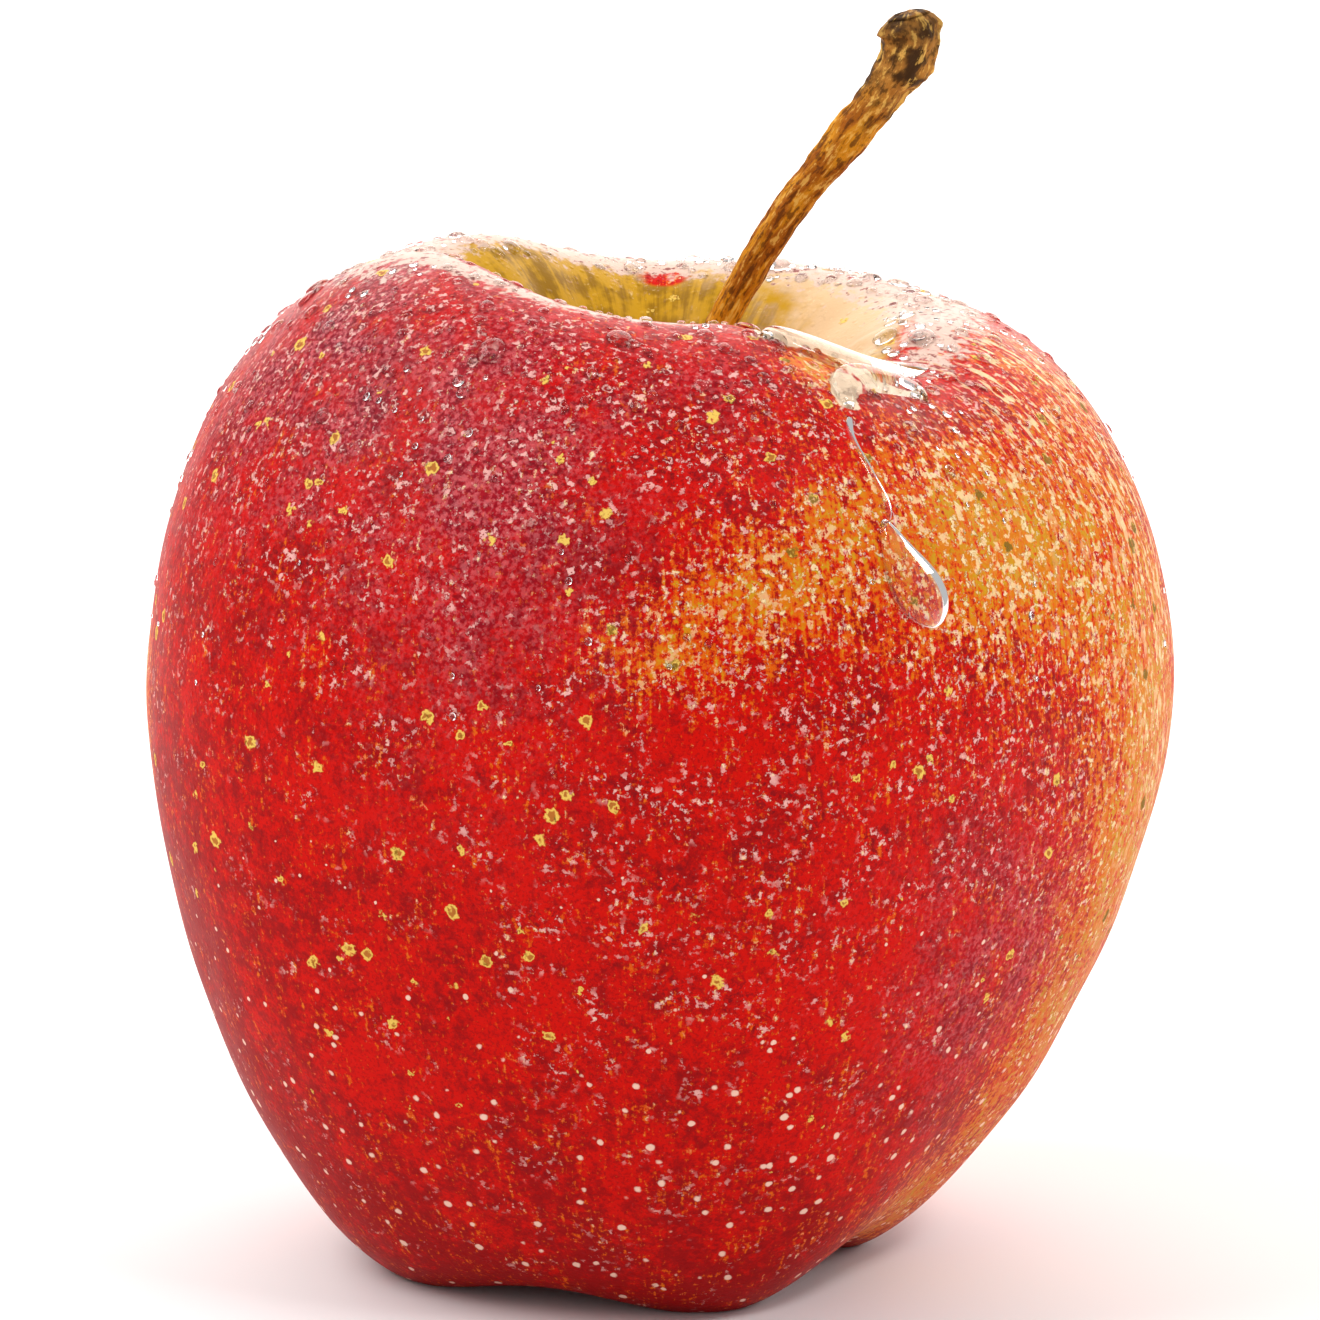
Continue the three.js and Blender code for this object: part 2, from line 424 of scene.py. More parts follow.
class Recipe:
    """A material in the making: each method adds a node and returns its output."""

    def __init__(self, name: str) -> None:
        """Starts a material of one Principled shader.

        Args:
            name: The material's name.
        """
        self.material = bpy.data.materials.new(name)
        self.material.use_nodes = True
        self.tree = self.material.node_tree
        self.tree.nodes.clear()
        output = self.tree.nodes.new("ShaderNodeOutputMaterial")
        self.shader = self.tree.nodes.new("ShaderNodeBsdfPrincipled")
        self.tree.links.new(self.shader.outputs["BSDF"], output.inputs["Surface"])

    def feed(self, socket: Socket, value: Socket | float | Colour) -> None:
        """Links an output to a socket, or sets the socket's own value.

        Args:
            socket: The input.
            value: What it takes: an output, a number or a colour.
        """
        if isinstance(value, bpy.types.NodeSocket):
            self.tree.links.new(value, socket)
        elif isinstance(value, tuple) and socket.type == "RGBA":
            socket.default_value = (*value, 1.0)
        else:
            socket.default_value = value

    def place(self) -> Socket:
        """The object's own coordinates, in metres."""
        return self.tree.nodes.new("ShaderNodeTexCoord").outputs["Object"]

    def number(self, name: str) -> Socket:
        """A number stored on the mesh."""
        return self._stored(name).outputs["Fac"]

    def vector(self, name: str) -> Socket:
        """A vector stored on the mesh."""
        return self._stored(name).outputs["Vector"]

    def _stored(self, name: str) -> bpy.types.Node:
        """A node that reads what is stored on the mesh.

        Args:
            name: What it was stored by.

        Returns:
            The node.
        """
        node = self.tree.nodes.new("ShaderNodeAttribute")
        node.attribute_name = name
        return node

    def noise(self, at: Socket, size: float, detail: float = 2.0, roughness: float = 0.5) -> Socket:
        """Cloudy noise from 0 to 1, with clouds about size millimetres across."""
        return self._noise_node(at, size, detail, roughness).outputs["Fac"]

    def _noise_node(self, at: Socket, size: float, detail: float, roughness: float) -> bpy.types.Node:
        """A noise texture whose clouds are about size millimetres across.

        Args:
            at: The coordinates.
            size: How large the clouds are.
            detail: How many finer layers they have.
            roughness: How strong the finer layers are.

        Returns:
            The node.
        """
        node = self.tree.nodes.new("ShaderNodeTexNoise")
        self.feed(node.inputs["Vector"], at)
        node.inputs["Scale"].default_value = 1 / (size * MM)
        node.inputs["Detail"].default_value = detail
        node.inputs["Roughness"].default_value = roughness
        return node

    def ruffled(self, at: Socket, size: float, amount: float) -> Socket:
        """Coordinates pushed about by up to half of amount, both in millimetres.

        Args:
            at: The coordinates.
            size: How large the pushes are across.
            amount: How far apart they push.

        Returns:
            The pushed coordinates.
        """
        colour = self._noise_node(at, size, 2.0, 0.5).outputs["Color"]
        centred = self._vector_maths(Maths.SUBTRACT, colour, (0.5, 0.5, 0.5))
        push = (amount * MM, amount * MM, amount * MM)
        return self._vector_maths(Maths.ADD, at, self._vector_maths(Maths.MULTIPLY, centred, push))

    def shortened(self, streaks: Socket, times: float) -> Socket:
        """Coordinates drawn out along the meridians, drawn out fewer times."""
        return self._vector_maths(Maths.MULTIPLY, streaks, (1.0, 1.0, times))

    def _vector_maths(self, operation: Maths, a: Socket, b: Socket | Colour) -> Socket:
        """A sum, a difference or a product of two vectors.

        Args:
            operation: What is done with them.
            a: The first vector.
            b: The second.

        Returns:
            The new vector.
        """
        node = self.tree.nodes.new("ShaderNodeVectorMath")
        node.operation = operation.value
        self.feed(node.inputs[0], a)
        self.feed(node.inputs[1], b)
        return node.outputs[0]

    def cells(self, at: Socket, size: float) -> tuple[Socket, Socket]:
        """Scattered points about size millimetres apart.

        Args:
            at: The coordinates.
            size: How far apart the points are.

        Returns:
            How far off the nearest point is, in sizes, and its own random colour.
        """
        node = self.tree.nodes.new("ShaderNodeTexVoronoi")
        self.feed(node.inputs["Vector"], at)
        node.inputs["Scale"].default_value = 1 / (size * MM)
        return node.outputs["Distance"], node.outputs["Color"]

    def _maths(self, operation: Maths, *values: Socket | float) -> Socket:
        """One operation on numbers, from the left.

        Args:
            operation: What is done with them.
            values: The numbers.

        Returns:
            The result.
        """
        total = values[0]
        for value in values[1:]:
            node = self.tree.nodes.new("ShaderNodeMath")
            node.operation = operation.value
            self.feed(node.inputs[0], total)
            self.feed(node.inputs[1], value)
            total = node.outputs[0]
        return total

    def plus(self, *terms: Socket | float) -> Socket:
        """All the terms added."""
        return self._maths(Maths.ADD, *terms)

    def minus(self, whole: Socket | float, part: Socket | float) -> Socket:
        """The whole less the part."""
        return self._maths(Maths.SUBTRACT, whole, part)

    def product(self, *factors: Socket | float) -> Socket:
        """All the factors multiplied."""
        return self._maths(Maths.MULTIPLY, *factors)

    def ratio(self, value: Socket | float, unit: Socket | float) -> Socket:
        """The value measured in the unit."""
        return self._maths(Maths.DIVIDE, value, unit)

    def larger(self, a: Socket | float, b: Socket | float) -> Socket:
        """The larger of two values."""
        return self._maths(Maths.MAXIMUM, a, b)

    def swing(self, value: Socket, amount: float) -> Socket:
        """A value about a half as a swing about zero, times amount."""
        return self.product(self.minus(value, 0.5), amount)

    def window(self, value: Socket, low: float, high: float) -> Socket:
        """A smooth rise from 0 to 1.

        Args:
            value: What is looked at.
            low: Where the rise starts, which may be the larger of the two.
            high: Where it ends.

        Returns:
            0 up to low and 1 from high on.
        """
        node = self.tree.nodes.new("ShaderNodeMapRange")
        node.interpolation_type = "SMOOTHSTEP"
        self.feed(node.inputs["Value"], value)
        node.inputs["From Min"].default_value = low
        node.inputs["From Max"].default_value = high
        return node.outputs["Result"]

    def blend(self, share: Socket | float, a: Socket | Colour, b: Socket | Colour) -> Socket:
        """A colour from a, at share 0, to b, at share 1.

        Args:
            share: How much of the second colour there is.
            a: The first colour.
            b: The second.

        Returns:
            The mixed colour.
        """
        node = self.tree.nodes.new("ShaderNodeMix")
        node.data_type = "RGBA"
        self.feed(node.inputs[0], share)
        self.feed(node.inputs[6], a)
        self.feed(node.inputs[7], b)
        return node.outputs[2]

    def relief(self, height: Socket, depth: float, under: Socket | None = None) -> Socket:
        """A normal roughened by a height from 0 to 1 over depth millimetres.

        Args:
            height: The height.
            depth: How deep it goes.
            under: A normal to build on.

        Returns:
            The new normal.
        """
        node = self.tree.nodes.new("ShaderNodeBump")
        node.inputs["Strength"].default_value = 1.0
        node.inputs["Distance"].default_value = depth * MM
        self.feed(node.inputs["Height"], height)
        if under is not None:
            self.feed(node.inputs["Normal"], under)
        return node.outputs["Normal"]


@dataclass(frozen=True)
class SkinFinish:
    """Waxy red skin over a golden ground, with streaks, bloom, lenticels and a mist of water, and painted
    sheen, highlights, glints and shade.
    """

    red: Colour = (0.61, 0.004, 0.001)
    deep_red: Colour = (0.20, 0.002, 0.004)
    orange: Colour = (0.70, 0.095, 0.003)
    gold: Colour = (0.66, 0.180, 0.003)
    yellow: Colour = (0.58, 0.285, 0.009)
    pale_gold: Colour = (0.84, 0.49, 0.085)
    # Wax bloom with a painted sheen over it: dark mauve, and pink where its grain is high.
    mauve: Colour = (0.14, 0.006, 0.024)
    bloom_and_sheen_pink: Colour = (0.56, 0.15, 0.17)
    pit: Colour = (0.13, 0.004, 0.008)
    # Painted glints of fine water: pink on the red, cream on the gold.
    painted_pink_glint: Colour = (0.92, 0.50, 0.45)
    painted_cream_glint: Colour = (0.95, 0.76, 0.42)
    lenticel: Colour = (0.84, 0.57, 0.11)
    lenticel_heart: Colour = (0.38, 0.085, 0.012)
    olive: Colour = (0.22, 0.125, 0.012)
    dot: Colour = (0.92, 0.60, 0.46)
    hollow: Colour = (0.56, 0.30, 0.014)
    hollow_shade: Colour = (0.30, 0.15, 0.008)
    # Cream painted light on the cavity's right wall and far rim.
    hollow_painted_light: Colour = (0.74, 0.50, 0.28)
    # Painted highlight round the rim.
    rim_highlight: Colour = (0.72, 0.52, 0.43)
    # Painted highlight under the pool and the crescent of water.
    film: Colour = (0.95, 0.76, 0.54)
    roughness: float = 0.46
    specular: float = 0.06

    def material(self) -> bpy.types.Material:
        """The skin's material, which reads the fields stored on the skin.

        Returns:
            The material.
        """
        r = Recipe("wet_apple_skin")
        at, streaks, walk = r.place(), r.vector("streaks"), r.number("walk")
        mist = r.number("mist")
        redness, colour = self._ground(r, at, streaks)
        colour = self._bloomed_with_painted_sheen(r, at, colour)
        colour = self._hollow(r, at, streaks, colour)
        specks, colour = self._specked_with_painted_glints(r, at, mist, redness, colour)
        rings, colour = self._painted_drop_highlights(r, at, r.product(mist, redness), colour)
        colour = self._painted_glint_dashes(r, streaks, colour)
        colour = self._painted_rim_and_pool_highlights(r, at, colour)
        stars, colour = self._starred(r, at, walk, redness, colour)
        dots, colour = self._dotted(r, at, walk, colour)
        droplets = r.product(self._droplets(r, at), r.plus(r.product(mist, 0.85), 0.15))

        normal = r.relief(r.noise(at, 0.28, 2.0), 0.02)
        normal = r.relief(r.larger(specks, rings), 0.06, normal)
        normal = r.relief(droplets, 0.12, normal)
        normal = r.relief(r.larger(stars, dots), 0.04, normal)
        r.feed(r.shader.inputs["Base Color"], colour)
        rough = r.plus(r.swing(r.noise(at, 2.0, 2.0), 0.2), self.roughness)
        rough = r.minus(rough, r.product(r.window(walk, 1.6, 1.1), 0.12))
        r.feed(r.shader.inputs["Roughness"], r.plus(rough, r.product(stars, 0.2)))
        r.feed(r.shader.inputs["Normal"], normal)
        r.shader.inputs["Specular IOR Level"].default_value = self.specular
        return r.material

    def _ground(self, r: Recipe, at: Socket, streaks: Socket) -> tuple[Socket, Socket]:
        """Red flushed over gold in fine streaks and stipple.

        Args:
            r: The recipe.
            at: The object's own coordinates.
            streaks: Coordinates drawn out along the meridians.

        Returns:
            How red each place is, and its colour.
        """
        streak = r.noise(streaks, 0.42, 3.0, 0.65)
        stipple = r.noise(at, 0.42, 3.0, 0.65)
        blotches = r.noise(at, 2.8, 2.0)
        pull = r.plus(r.swing(streak, 1.5), r.swing(stipple, 2.3), r.swing(blotches, 0.8))
        flush = r.plus(r.number("blush"), pull)
        redness = r.window(flush, 0.40, 0.80)
        gold = r.blend(r.window(r.noise(at, 1.4, 3.0, 0.6), 0.40, 0.60), self.gold, self.yellow)
        gold = r.blend(r.window(stipple, 0.52, 0.64), gold, self.pale_gold)
        gold = r.blend(r.window(flush, 0.10, 0.48), gold, self.orange)
        clouds = r.swing(r.noise(at, 6.0, 2.0), 0.45)
        # Random darker tone, with the painted shade stored as shade: darker towards the foot and along the
        # lower left edge.
        shade = r.plus(r.noise(at, 1.1, 4.0, 0.75), clouds, r.product(r.number("shade"), 0.22))
        red = r.blend(r.product(r.window(shade, 0.42, 0.68), 0.7), self.red, self.deep_red)
        grain = r.window(r.noise(at, 0.26, 2.0, 0.6), 0.50, 0.64)
        red = r.blend(r.product(grain, 0.45), red, self.deep_red)
        return redness, r.blend(redness, gold, red)

    def _bloomed_with_painted_sheen(self, r: Recipe, at: Socket, colour: Socket) -> Socket:
        """The colour with mauve wax bloom and a painted sheen in it, pink where the bloom's grain is high.

        Args:
            r: The recipe.
            at: The object's own coordinates.
            colour: The skin's colour so far.

        Returns:
            The new colour.
        """
        grain = r.window(r.noise(at, 0.36, 2.0, 0.6), 0.42, 0.62)
        clouds = r.window(r.noise(at, 5.5, 3.0, 0.6), 0.36, 0.60)
        # Wax bloom and painted sheen, stored as bloom.
        bloom = r.product(r.number("bloom"), r.plus(r.product(clouds, 0.75), 0.25))
        return r.blend(r.product(bloom, 0.9), colour, r.blend(grain, self.mauve, self.bloom_and_sheen_pink))

    def _hollow(self, r: Recipe, at: Socket, streaks: Socket, colour: Socket) -> Socket:
        """The colour with the stalk cavity's ochre in it, and cream painted light on its right wall and far
        rim.

        Args:
            r: The recipe.
            at: The object's own coordinates.
            streaks: Coordinates drawn out along the meridians.
            colour: The skin's colour so far.

        Returns:
            The new colour.
        """
        rays = r.noise(streaks, 1.4, 3.0, 0.6)
        blots = r.noise(at, 2.4, 3.0, 0.6)
        shaded = r.window(r.plus(blots, r.swing(rays, 0.7)), 0.40, 0.66)
        tone = r.blend(shaded, self.hollow, self.hollow_shade)
        # Painted light: cream on the cavity's right wall and far rim.
        cream = r.window(r.plus(r.number("cream"), r.swing(blots, 0.9)), 0.25, 0.75)
        tone = r.blend(cream, tone, self.hollow_painted_light)
        edge = r.plus(r.number("hollow"), r.swing(blots, 0.5))
        return r.blend(r.window(edge, 0.32, 0.62), colour, tone)

    def _specked_with_painted_glints(
        self, r: Recipe, at: Socket, mist: Socket, redness: Socket, colour: Socket
    ) -> tuple[Socket, Socket]:
        """Pale grains of painted glint off fine water, thicker above.

        Args:
            r: The recipe.
            at: The object's own coordinates.
            mist: How wet each place is.
            redness: How red each place is.
            colour: The skin's colour so far.

        Returns:
            Where they are, and the new colour.
        """
        noise = r.noise(at, 0.56, 3.0, 0.62)
        grains = r.window(noise, 0.555, 0.63)
        pits = r.window(noise, 0.44, 0.36)
        clumps = r.plus(r.noise(at, 3.0, 3.0, 0.6), r.swing(redness, -0.14))
        crowd = r.window(r.plus(clumps, r.product(mist, 0.28)), 0.46, 0.70)
        crowd = r.product(crowd, r.minus(1.0, r.product(r.number("hollow"), 0.8)))
        specks = r.product(grains, crowd)
        # Painted glints, pink on the red and cream on the gold.
        pale = r.blend(redness, self.painted_cream_glint, self.painted_pink_glint)
        colour = r.blend(r.product(specks, 0.8), colour, pale)
        # Larger cream clots of painted glint on the wet golden ground.
        clots = r.window(r.noise(at, 0.95, 3.0, 0.6), 0.55, 0.61)
        golden = r.product(r.window(redness, 0.75, 0.25), mist, 0.68)
        colour = r.blend(r.product(clots, golden), colour, self.painted_cream_glint)
        return specks, r.blend(r.product(pits, crowd, redness, 0.6), colour, self.pit)

    def _painted_drop_highlights(self, r: Recipe, at: Socket, mist: Socket, colour: Socket) -> tuple[Socket, Socket]:
        """Small drops painted on, each a broken pale ring of painted highlight in a dark outline of painted
        shade.

        Args:
            r: The recipe.
            at: The object's own coordinates.
            mist: How wet each place is.
            colour: The skin's colour so far.

        Returns:
            Where they are, and the new colour.
        """
        far, pick = r.cells(r.ruffled(at, 0.45, 0.75), 1.7)
        bare = r.minus(1.0, r.number("hollow"))
        crowd = r.product(r.window(pick, 0.50, 0.62), r.window(mist, 0.45, 0.75), bare)
        edge = r.ratio(far, r.plus(r.product(pick, 0.16), 0.08))
        broken = r.window(r.noise(at, 0.6, 2.0), 0.40, 0.55)
        # A broken pale ring of painted highlight, and a dark outline of painted shade round it.
        ring = r.product(r.window(edge, 1.08, 0.90), r.window(edge, 0.50, 0.72), crowd, broken)
        outline = r.product(r.window(edge, 1.45, 1.15), crowd, 0.5)
        return ring, r.blend(r.product(ring, 0.8), r.blend(outline, colour, self.pit), self.painted_pink_glint)

    def _painted_glint_dashes(self, r: Recipe, streaks: Socket, colour: Socket) -> Socket:
        """The colour with cream dashes of painted glint drawn out downhill, where fine water has run."""
        dashes = r.window(r.noise(r.shortened(streaks, 2.6), 0.75, 2.0, 0.55), 0.56, 0.62)
        return r.blend(r.product(dashes, r.number("dashed"), 0.9), colour, self.painted_cream_glint)

    def _painted_rim_and_pool_highlights(self, r: Recipe, at: Socket, colour: Socket) -> Socket:
        """The colour whitened by a painted highlight round the rim, with bare red spots, and by a painted
        highlight under the films of water.

        Args:
            r: The recipe.
            at: The object's own coordinates.
            colour: The skin's colour so far.

        Returns:
            The new colour.
        """
        grain = r.noise(at, 0.8, 3.0, 0.6)
        # Painted highlight round the rim, broken by bare red spots.
        reach = r.plus(r.number("rim_highlight"), r.swing(grain, 1.5))
        mask = r.window(reach, 0.34, 0.62)
        whitened = r.blend(r.product(mask, 0.9), colour, self.rim_highlight)
        bare = r.product(mask, r.window(r.noise(at, 0.75, 3.0, 0.65), 0.42, 0.36), 0.85)
        whitened = r.blend(bare, whitened, self.deep_red)
        # Painted highlight under the pool and the crescent of water, stored as film.
        under = r.plus(r.number("film"), r.swing(grain, 0.8))
        return r.blend(r.product(r.window(under, 0.36, 0.52), 0.92), whitened, self.film)

    def _starred(
        self, r: Recipe, at: Socket, walk: Socket, redness: Socket, colour: Socket
    ) -> tuple[Socket, Socket]:
        """Ragged corky lenticels over the upper fruit.

        Args:
            r: The recipe.
            at: The object's own coordinates.
            walk: How far down the meridian.
            redness: How red each place is.
            colour: The skin's colour so far.

        Returns:
            Where they are, and the new colour.
        """
        far, pick = r.cells(r.ruffled(at, 0.45, 0.9), 3.5)
        upper = r.window(walk, 2.7, 2.2)
        size = r.product(r.plus(r.product(pick, 0.10), 0.08), upper)
        edge = r.ratio(far, r.larger(size, 0.001))
        mask = r.window(edge, 1.10, 0.85)
        heart = r.product(r.window(edge, 0.72, 0.45), 0.85)
        on_red = r.blend(heart, self.lenticel, self.lenticel_heart)
        return mask, r.blend(r.product(mask, 0.92), colour, r.blend(redness, self.olive, on_red))

    def _dotted(self, r: Recipe, at: Socket, walk: Socket, colour: Socket) -> tuple[Socket, Socket]:
        """Small pale lenticels that crowd towards the foot.

        Args:
            r: The recipe.
            at: The object's own coordinates.
            walk: How far down the meridian.
            colour: The skin's colour so far.

        Returns:
            Where they are, and the new colour.
        """
        far, pick = r.cells(r.ruffled(at, 0.5, 0.25), 1.8)
        lower = r.plus(r.product(r.window(walk, 1.9, 2.5), 0.9), 0.1)
        size = r.product(r.plus(r.product(pick, 0.06), 0.13), lower)
        edge = r.ratio(far, r.larger(size, 0.001))
        mask = r.window(edge, 1.15, 0.75)
        return mask, r.blend(r.product(mask, 0.92), colour, self.dot)

    def _droplets(self, r: Recipe, at: Socket) -> Socket:
        """Domes of tiny droplets, as a height from 0 to 1."""
        far, pick = r.cells(at, 0.75)
        return r.product(r.window(far, 0.36, 0.05), r.window(pick, 0.35, 0.6))


@dataclass(frozen=True)
class BarkFinish:
    """Woody stalk bark: golden and russet along its length, dark and cracked at the knob, with painted shade
    in its grooves and painted highlights on its ridges.
    """

    gold: Colour = (0.64, 0.25, 0.010)
    russet: Colour = (0.36, 0.10, 0.005)
    # Dark cracks, and painted shade in the grooves.
    crack_and_groove_shade: Colour = (0.09, 0.022, 0.003)
    knob: Colour = (0.050, 0.020, 0.004)
    olive: Colour = (0.42, 0.175, 0.030)
    # Pale flecks and painted highlights on the raised bark.
    pale: Colour = (0.82, 0.47, 0.10)
    roughness: float = 0.65
    specular: float = 0.10

    def material(self) -> bpy.types.Material:
        """The bark's material, which reads the grain stored on the stalk.

        Returns:
            The material.
        """
        r = Recipe("stalk_bark")
        at = r.place()
        grain, share = r.vector("grain"), r.number("share")
        fibres = r.noise(grain, 0.42, 4.0, 0.6)
        cork = r.noise(at, 0.42, 3.0, 0.6)
        bands = r.noise(grain, 1.2, 2.0)
        patches = r.noise(at, 1.6, 3.0)
        colour = r.blend(r.window(bands, 0.42, 0.58), self.gold, self.russet)
        tip = r.window(r.plus(share, r.swing(patches, 0.12)), 0.24, 0.13)
        dark = r.blend(r.window(patches, 0.38, 0.60), self.knob, self.olive)
        colour = r.blend(tip, colour, dark)
        rough_bark = r.plus(r.product(fibres, 0.75), r.product(cork, 0.25))
        dark_cracks_and_painted_shade = r.blend(tip, self.crack_and_groove_shade, self.knob)
        # Dark cracks and painted shade where the bark is low, pale flecks and painted highlights where it is
        # high.
        colour = r.blend(r.product(r.window(rough_bark, 0.49, 0.42), 0.75), colour, dark_cracks_and_painted_shade)
        colour = r.blend(r.product(r.window(rough_bark, 0.53, 0.60), 0.7), colour, self.pale)
        colour = r.blend(r.product(r.window(share, 0.07, 0.03), 0.35), colour, self.knob)
        normal = r.relief(rough_bark, 0.16)
        normal = r.relief(r.noise(at, 0.25, 3.0, 0.6), 0.05, normal)
        r.feed(r.shader.inputs["Base Color"], colour)
        r.feed(r.shader.inputs["Roughness"], r.plus(r.swing(patches, 0.3), self.roughness))
        r.feed(r.shader.inputs["Normal"], normal)
        r.shader.inputs["Specular IOR Level"].default_value = self.specular
        return r.material


@dataclass(frozen=True)
class DriedFinish:
    """Dried calyx parts: dull brown, darker in the hollows and downy."""

    name: str
    light: Colour
    dark: Colour
    sheen: float = 0.3

    def material(self) -> bpy.types.Material:
        """The dried part's material.

        Returns:
            The material.
        """
        r = Recipe(self.name)
        at = r.place()
        fibres = r.noise(at, 0.5, 4.0, 0.65)
        colour = r.blend(r.window(fibres, 0.38, 0.64), self.dark, self.light)
        r.feed(r.shader.inputs["Base Color"], colour)
        r.feed(r.shader.inputs["Roughness"], r.plus(r.swing(fibres, 0.2), 0.85))
        r.feed(r.shader.inputs["Normal"], r.relief(fibres, 0.12))
        r.shader.inputs["Sheen Weight"].default_value = self.sheen
        return r.material


@dataclass(frozen=True)
class WaterFinish:
    """Clear water."""

    refraction: float = 1.333
    roughness: float = 0.02

    def material(self) -> bpy.types.Material:
        """The water's material.

        Returns:
            The material.
        """
        r = Recipe("clear_water")
        r.shader.inputs["Base Color"].default_value = (1, 1, 1, 1)
        r.shader.inputs["Roughness"].default_value = self.roughness
        r.shader.inputs["IOR"].default_value = self.refraction
        r.shader.inputs["Transmission Weight"].default_value = 1.0
        return r.material


# ---------------------------------------------------------------- the fruit


@dataclass
class Fruit:
    """The fruit's ribbed form and its skin."""

    ribs: tuple[Rib, ...] = (
        Rib(azimuth=11, shoulder=71.6, belly=37.7, foot=19.2, dip=3.3, rise=3.0),
        Rib(azimuth=84, shoulder=69.4, belly=37.5, foot=13.6, dip=0.4, rise=1.6),
        Rib(azimuth=156, shoulder=70.6, belly=37.8, foot=17.2, dip=1.2, rise=1.5),
        Rib(azimuth=229, shoulder=73.2, belly=38.1, foot=20.1, dip=2.0, rise=1.8),
        Rib(azimuth=301, shoulder=75.3, belly=38.7, foot=20.4, dip=0.2, rise=1.7),
    )
    belly_height: float = 42.6
    shoulder_reach: float = 19.1
    valley_belly_depth: float = 1.4
    valley_shoulder_reach: float = 0.9
    flat_spot_depth: float = 0.35
    shoulder_rounding: float = 9.0
    upper_belly_rounding: float = 16.6
    lower_belly_rounding: float = 19.6
    foot_rounding: float = 6.2
    cavity_floor_height: float = 54.0
    cavity_floor_reach: float = 4.5
    cavity_lip_rounding: float = 7.1
    basin_floor_height: float = 9.5
    basin_floor_reach: float = 6.0
    basin_lip_rounding: float = 5.0
    columns: int = 440
    rows_per_leg: tuple[int, int, int, int] = (44, 56, 66, 40)
    streak_stretch: float = 0.13
    lump_height: float = 0.10
    lump_length: float = 13.0
    furrow_depth: float = 0.16
    furrow_counts: tuple[int, ...] = (9, 13, 17, 22)
    axis: Vector = field(init=False)

    golden: tuple[Patch, ...] = (
        Patch(46, 1.63, 21, 0.26, 0.86),
        Patch(36, 1.10, 9, 0.10, 0.85),
        Patch(25, 1.21, 4.5, 0.09, 0.80),
        Patch(22, 1.62, 10, 0.13, 0.55),
        Patch(11, 1.72, 10, 0.10, 0.64),
        Patch(0, 1.81, 7, 0.07, 0.50),
        Patch(72, 2.00, 16, 0.45, 0.74),
        Patch(66, 2.45, 13, 0.35, 0.55),
        Patch(56, 2.78, 20, 0.18, 0.66),
        Patch(78, 1.35, 15, 0.28, 0.45),
        Patch(152, 2.00, 55, 0.90, 0.80),
        Patch(-84, 2.00, 10, 0.16, 0.70),
    )
    # Where the wax bloom and its painted sheen lie.
    bloom_and_sheen_patches: tuple[Patch, ...] = (
        Patch(-52, 1.30, 40, 0.34, 0.85),
        Patch(-22, 1.64, 14, 0.30, 0.50),
        Patch(46, 2.28, 17, 0.22, 0.50),
        Patch(0, 1.24, 20, 0.16, 0.35),
        Patch(230, 1.50, 40, 0.50, 0.50),
    )
    # Where painted light lies in the cavity: its right wall and far rim.
    lit_hollow_patches: tuple[Patch, ...] = (Patch(105, 0.85, 42, 0.30), Patch(170, 1.0, 60, 0.16, 0.8))
    misty: tuple[Patch, ...] = (
        Patch(5, 1.25, 75, 0.40, 0.85),
        Patch(-45, 1.50, 32, 0.40, 0.55),
        Patch(50, 1.65, 32, 0.55, 0.90),
        Patch(5, 1.95, 26, 0.40, 0.50),
        Patch(190, 1.30, 110, 0.60, 0.75),
    )
    # Where cream dashes of painted glint lie, drawn out downhill.
    dashed: tuple[Patch, ...] = (Patch(72, 1.35, 20, 0.38, 0.95), Patch(80, 1.95, 12, 0.5, 0.6))
    # Where the painted highlight lies round the rim.
    rim_highlight_patches: tuple[Patch, ...] = (
        Patch(180, 1.00, 75, 0.15, 0.90),
        Patch(104, 1.02, 34, 0.17, 0.85),
        Patch(70, 1.08, 16, 0.09, 0.55),
        Patch(-95, 1.02, 34, 0.12, 0.80),
        Patch(-72, 1.13, 26, 0.13, 0.50),
        Patch(-48, 1.01, 34, 0.06, 0.75),
        Patch(-8, 0.98, 22, 0.05, 0.60),
    )
    # Where the painted highlight lies under the pool and the crescent of water.
    pool_highlight_patches: tuple[Patch, ...] = (
        Patch(22, 1.05, 6, 0.04, 0.95),
        Patch(32, 1.02, 7, 0.045, 0.98),
        Patch(42, 1.02, 7, 0.04, 0.98),
        Patch(51, 1.04, 6, 0.03, 0.90),
        Patch(28.3, 1.30, 2.4, 0.04, 0.90),
        Patch(30, 1.24, 3.0, 0.035, 0.90),
        Patch(35, 1.19, 4.0, 0.03, 0.90),
        Patch(41, 1.17, 4.0, 0.025, 0.85),
        Patch(46, 1.19, 3.0, 0.025, 0.75),
    )
    # Painted shade: darker towards the foot and along the lower left edge.
    painted_shade_patches: tuple[Patch, ...] = (Patch(0, 3.0, 120, 0.35), Patch(-72, 2.5, 22, 0.5))
    red_lips: tuple[Patch, ...] = (Patch(0, 1.08, 62, 0.22), Patch(179, 0.86, 8, 0.05, 0.9))

    def __post_init__(self) -> None:
        """Finds where the fruit's axis stands in the frame."""
        self.axis = Vector((0, 0, 0))
        azimuths, walks = np.meshgrid(np.arange(0, 360, 2.0), np.linspace(1, 3, 60))
        points = self.point(azimuths.ravel(), walks.ravel())
        middle = (points.min(axis=0) + points.max(axis=0)) / 2
        low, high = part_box("apple_body")
        self.axis = Vector(((low.x + high.x) / 2 - middle[0], (low.y + high.y) / 2 - middle[1], 0))

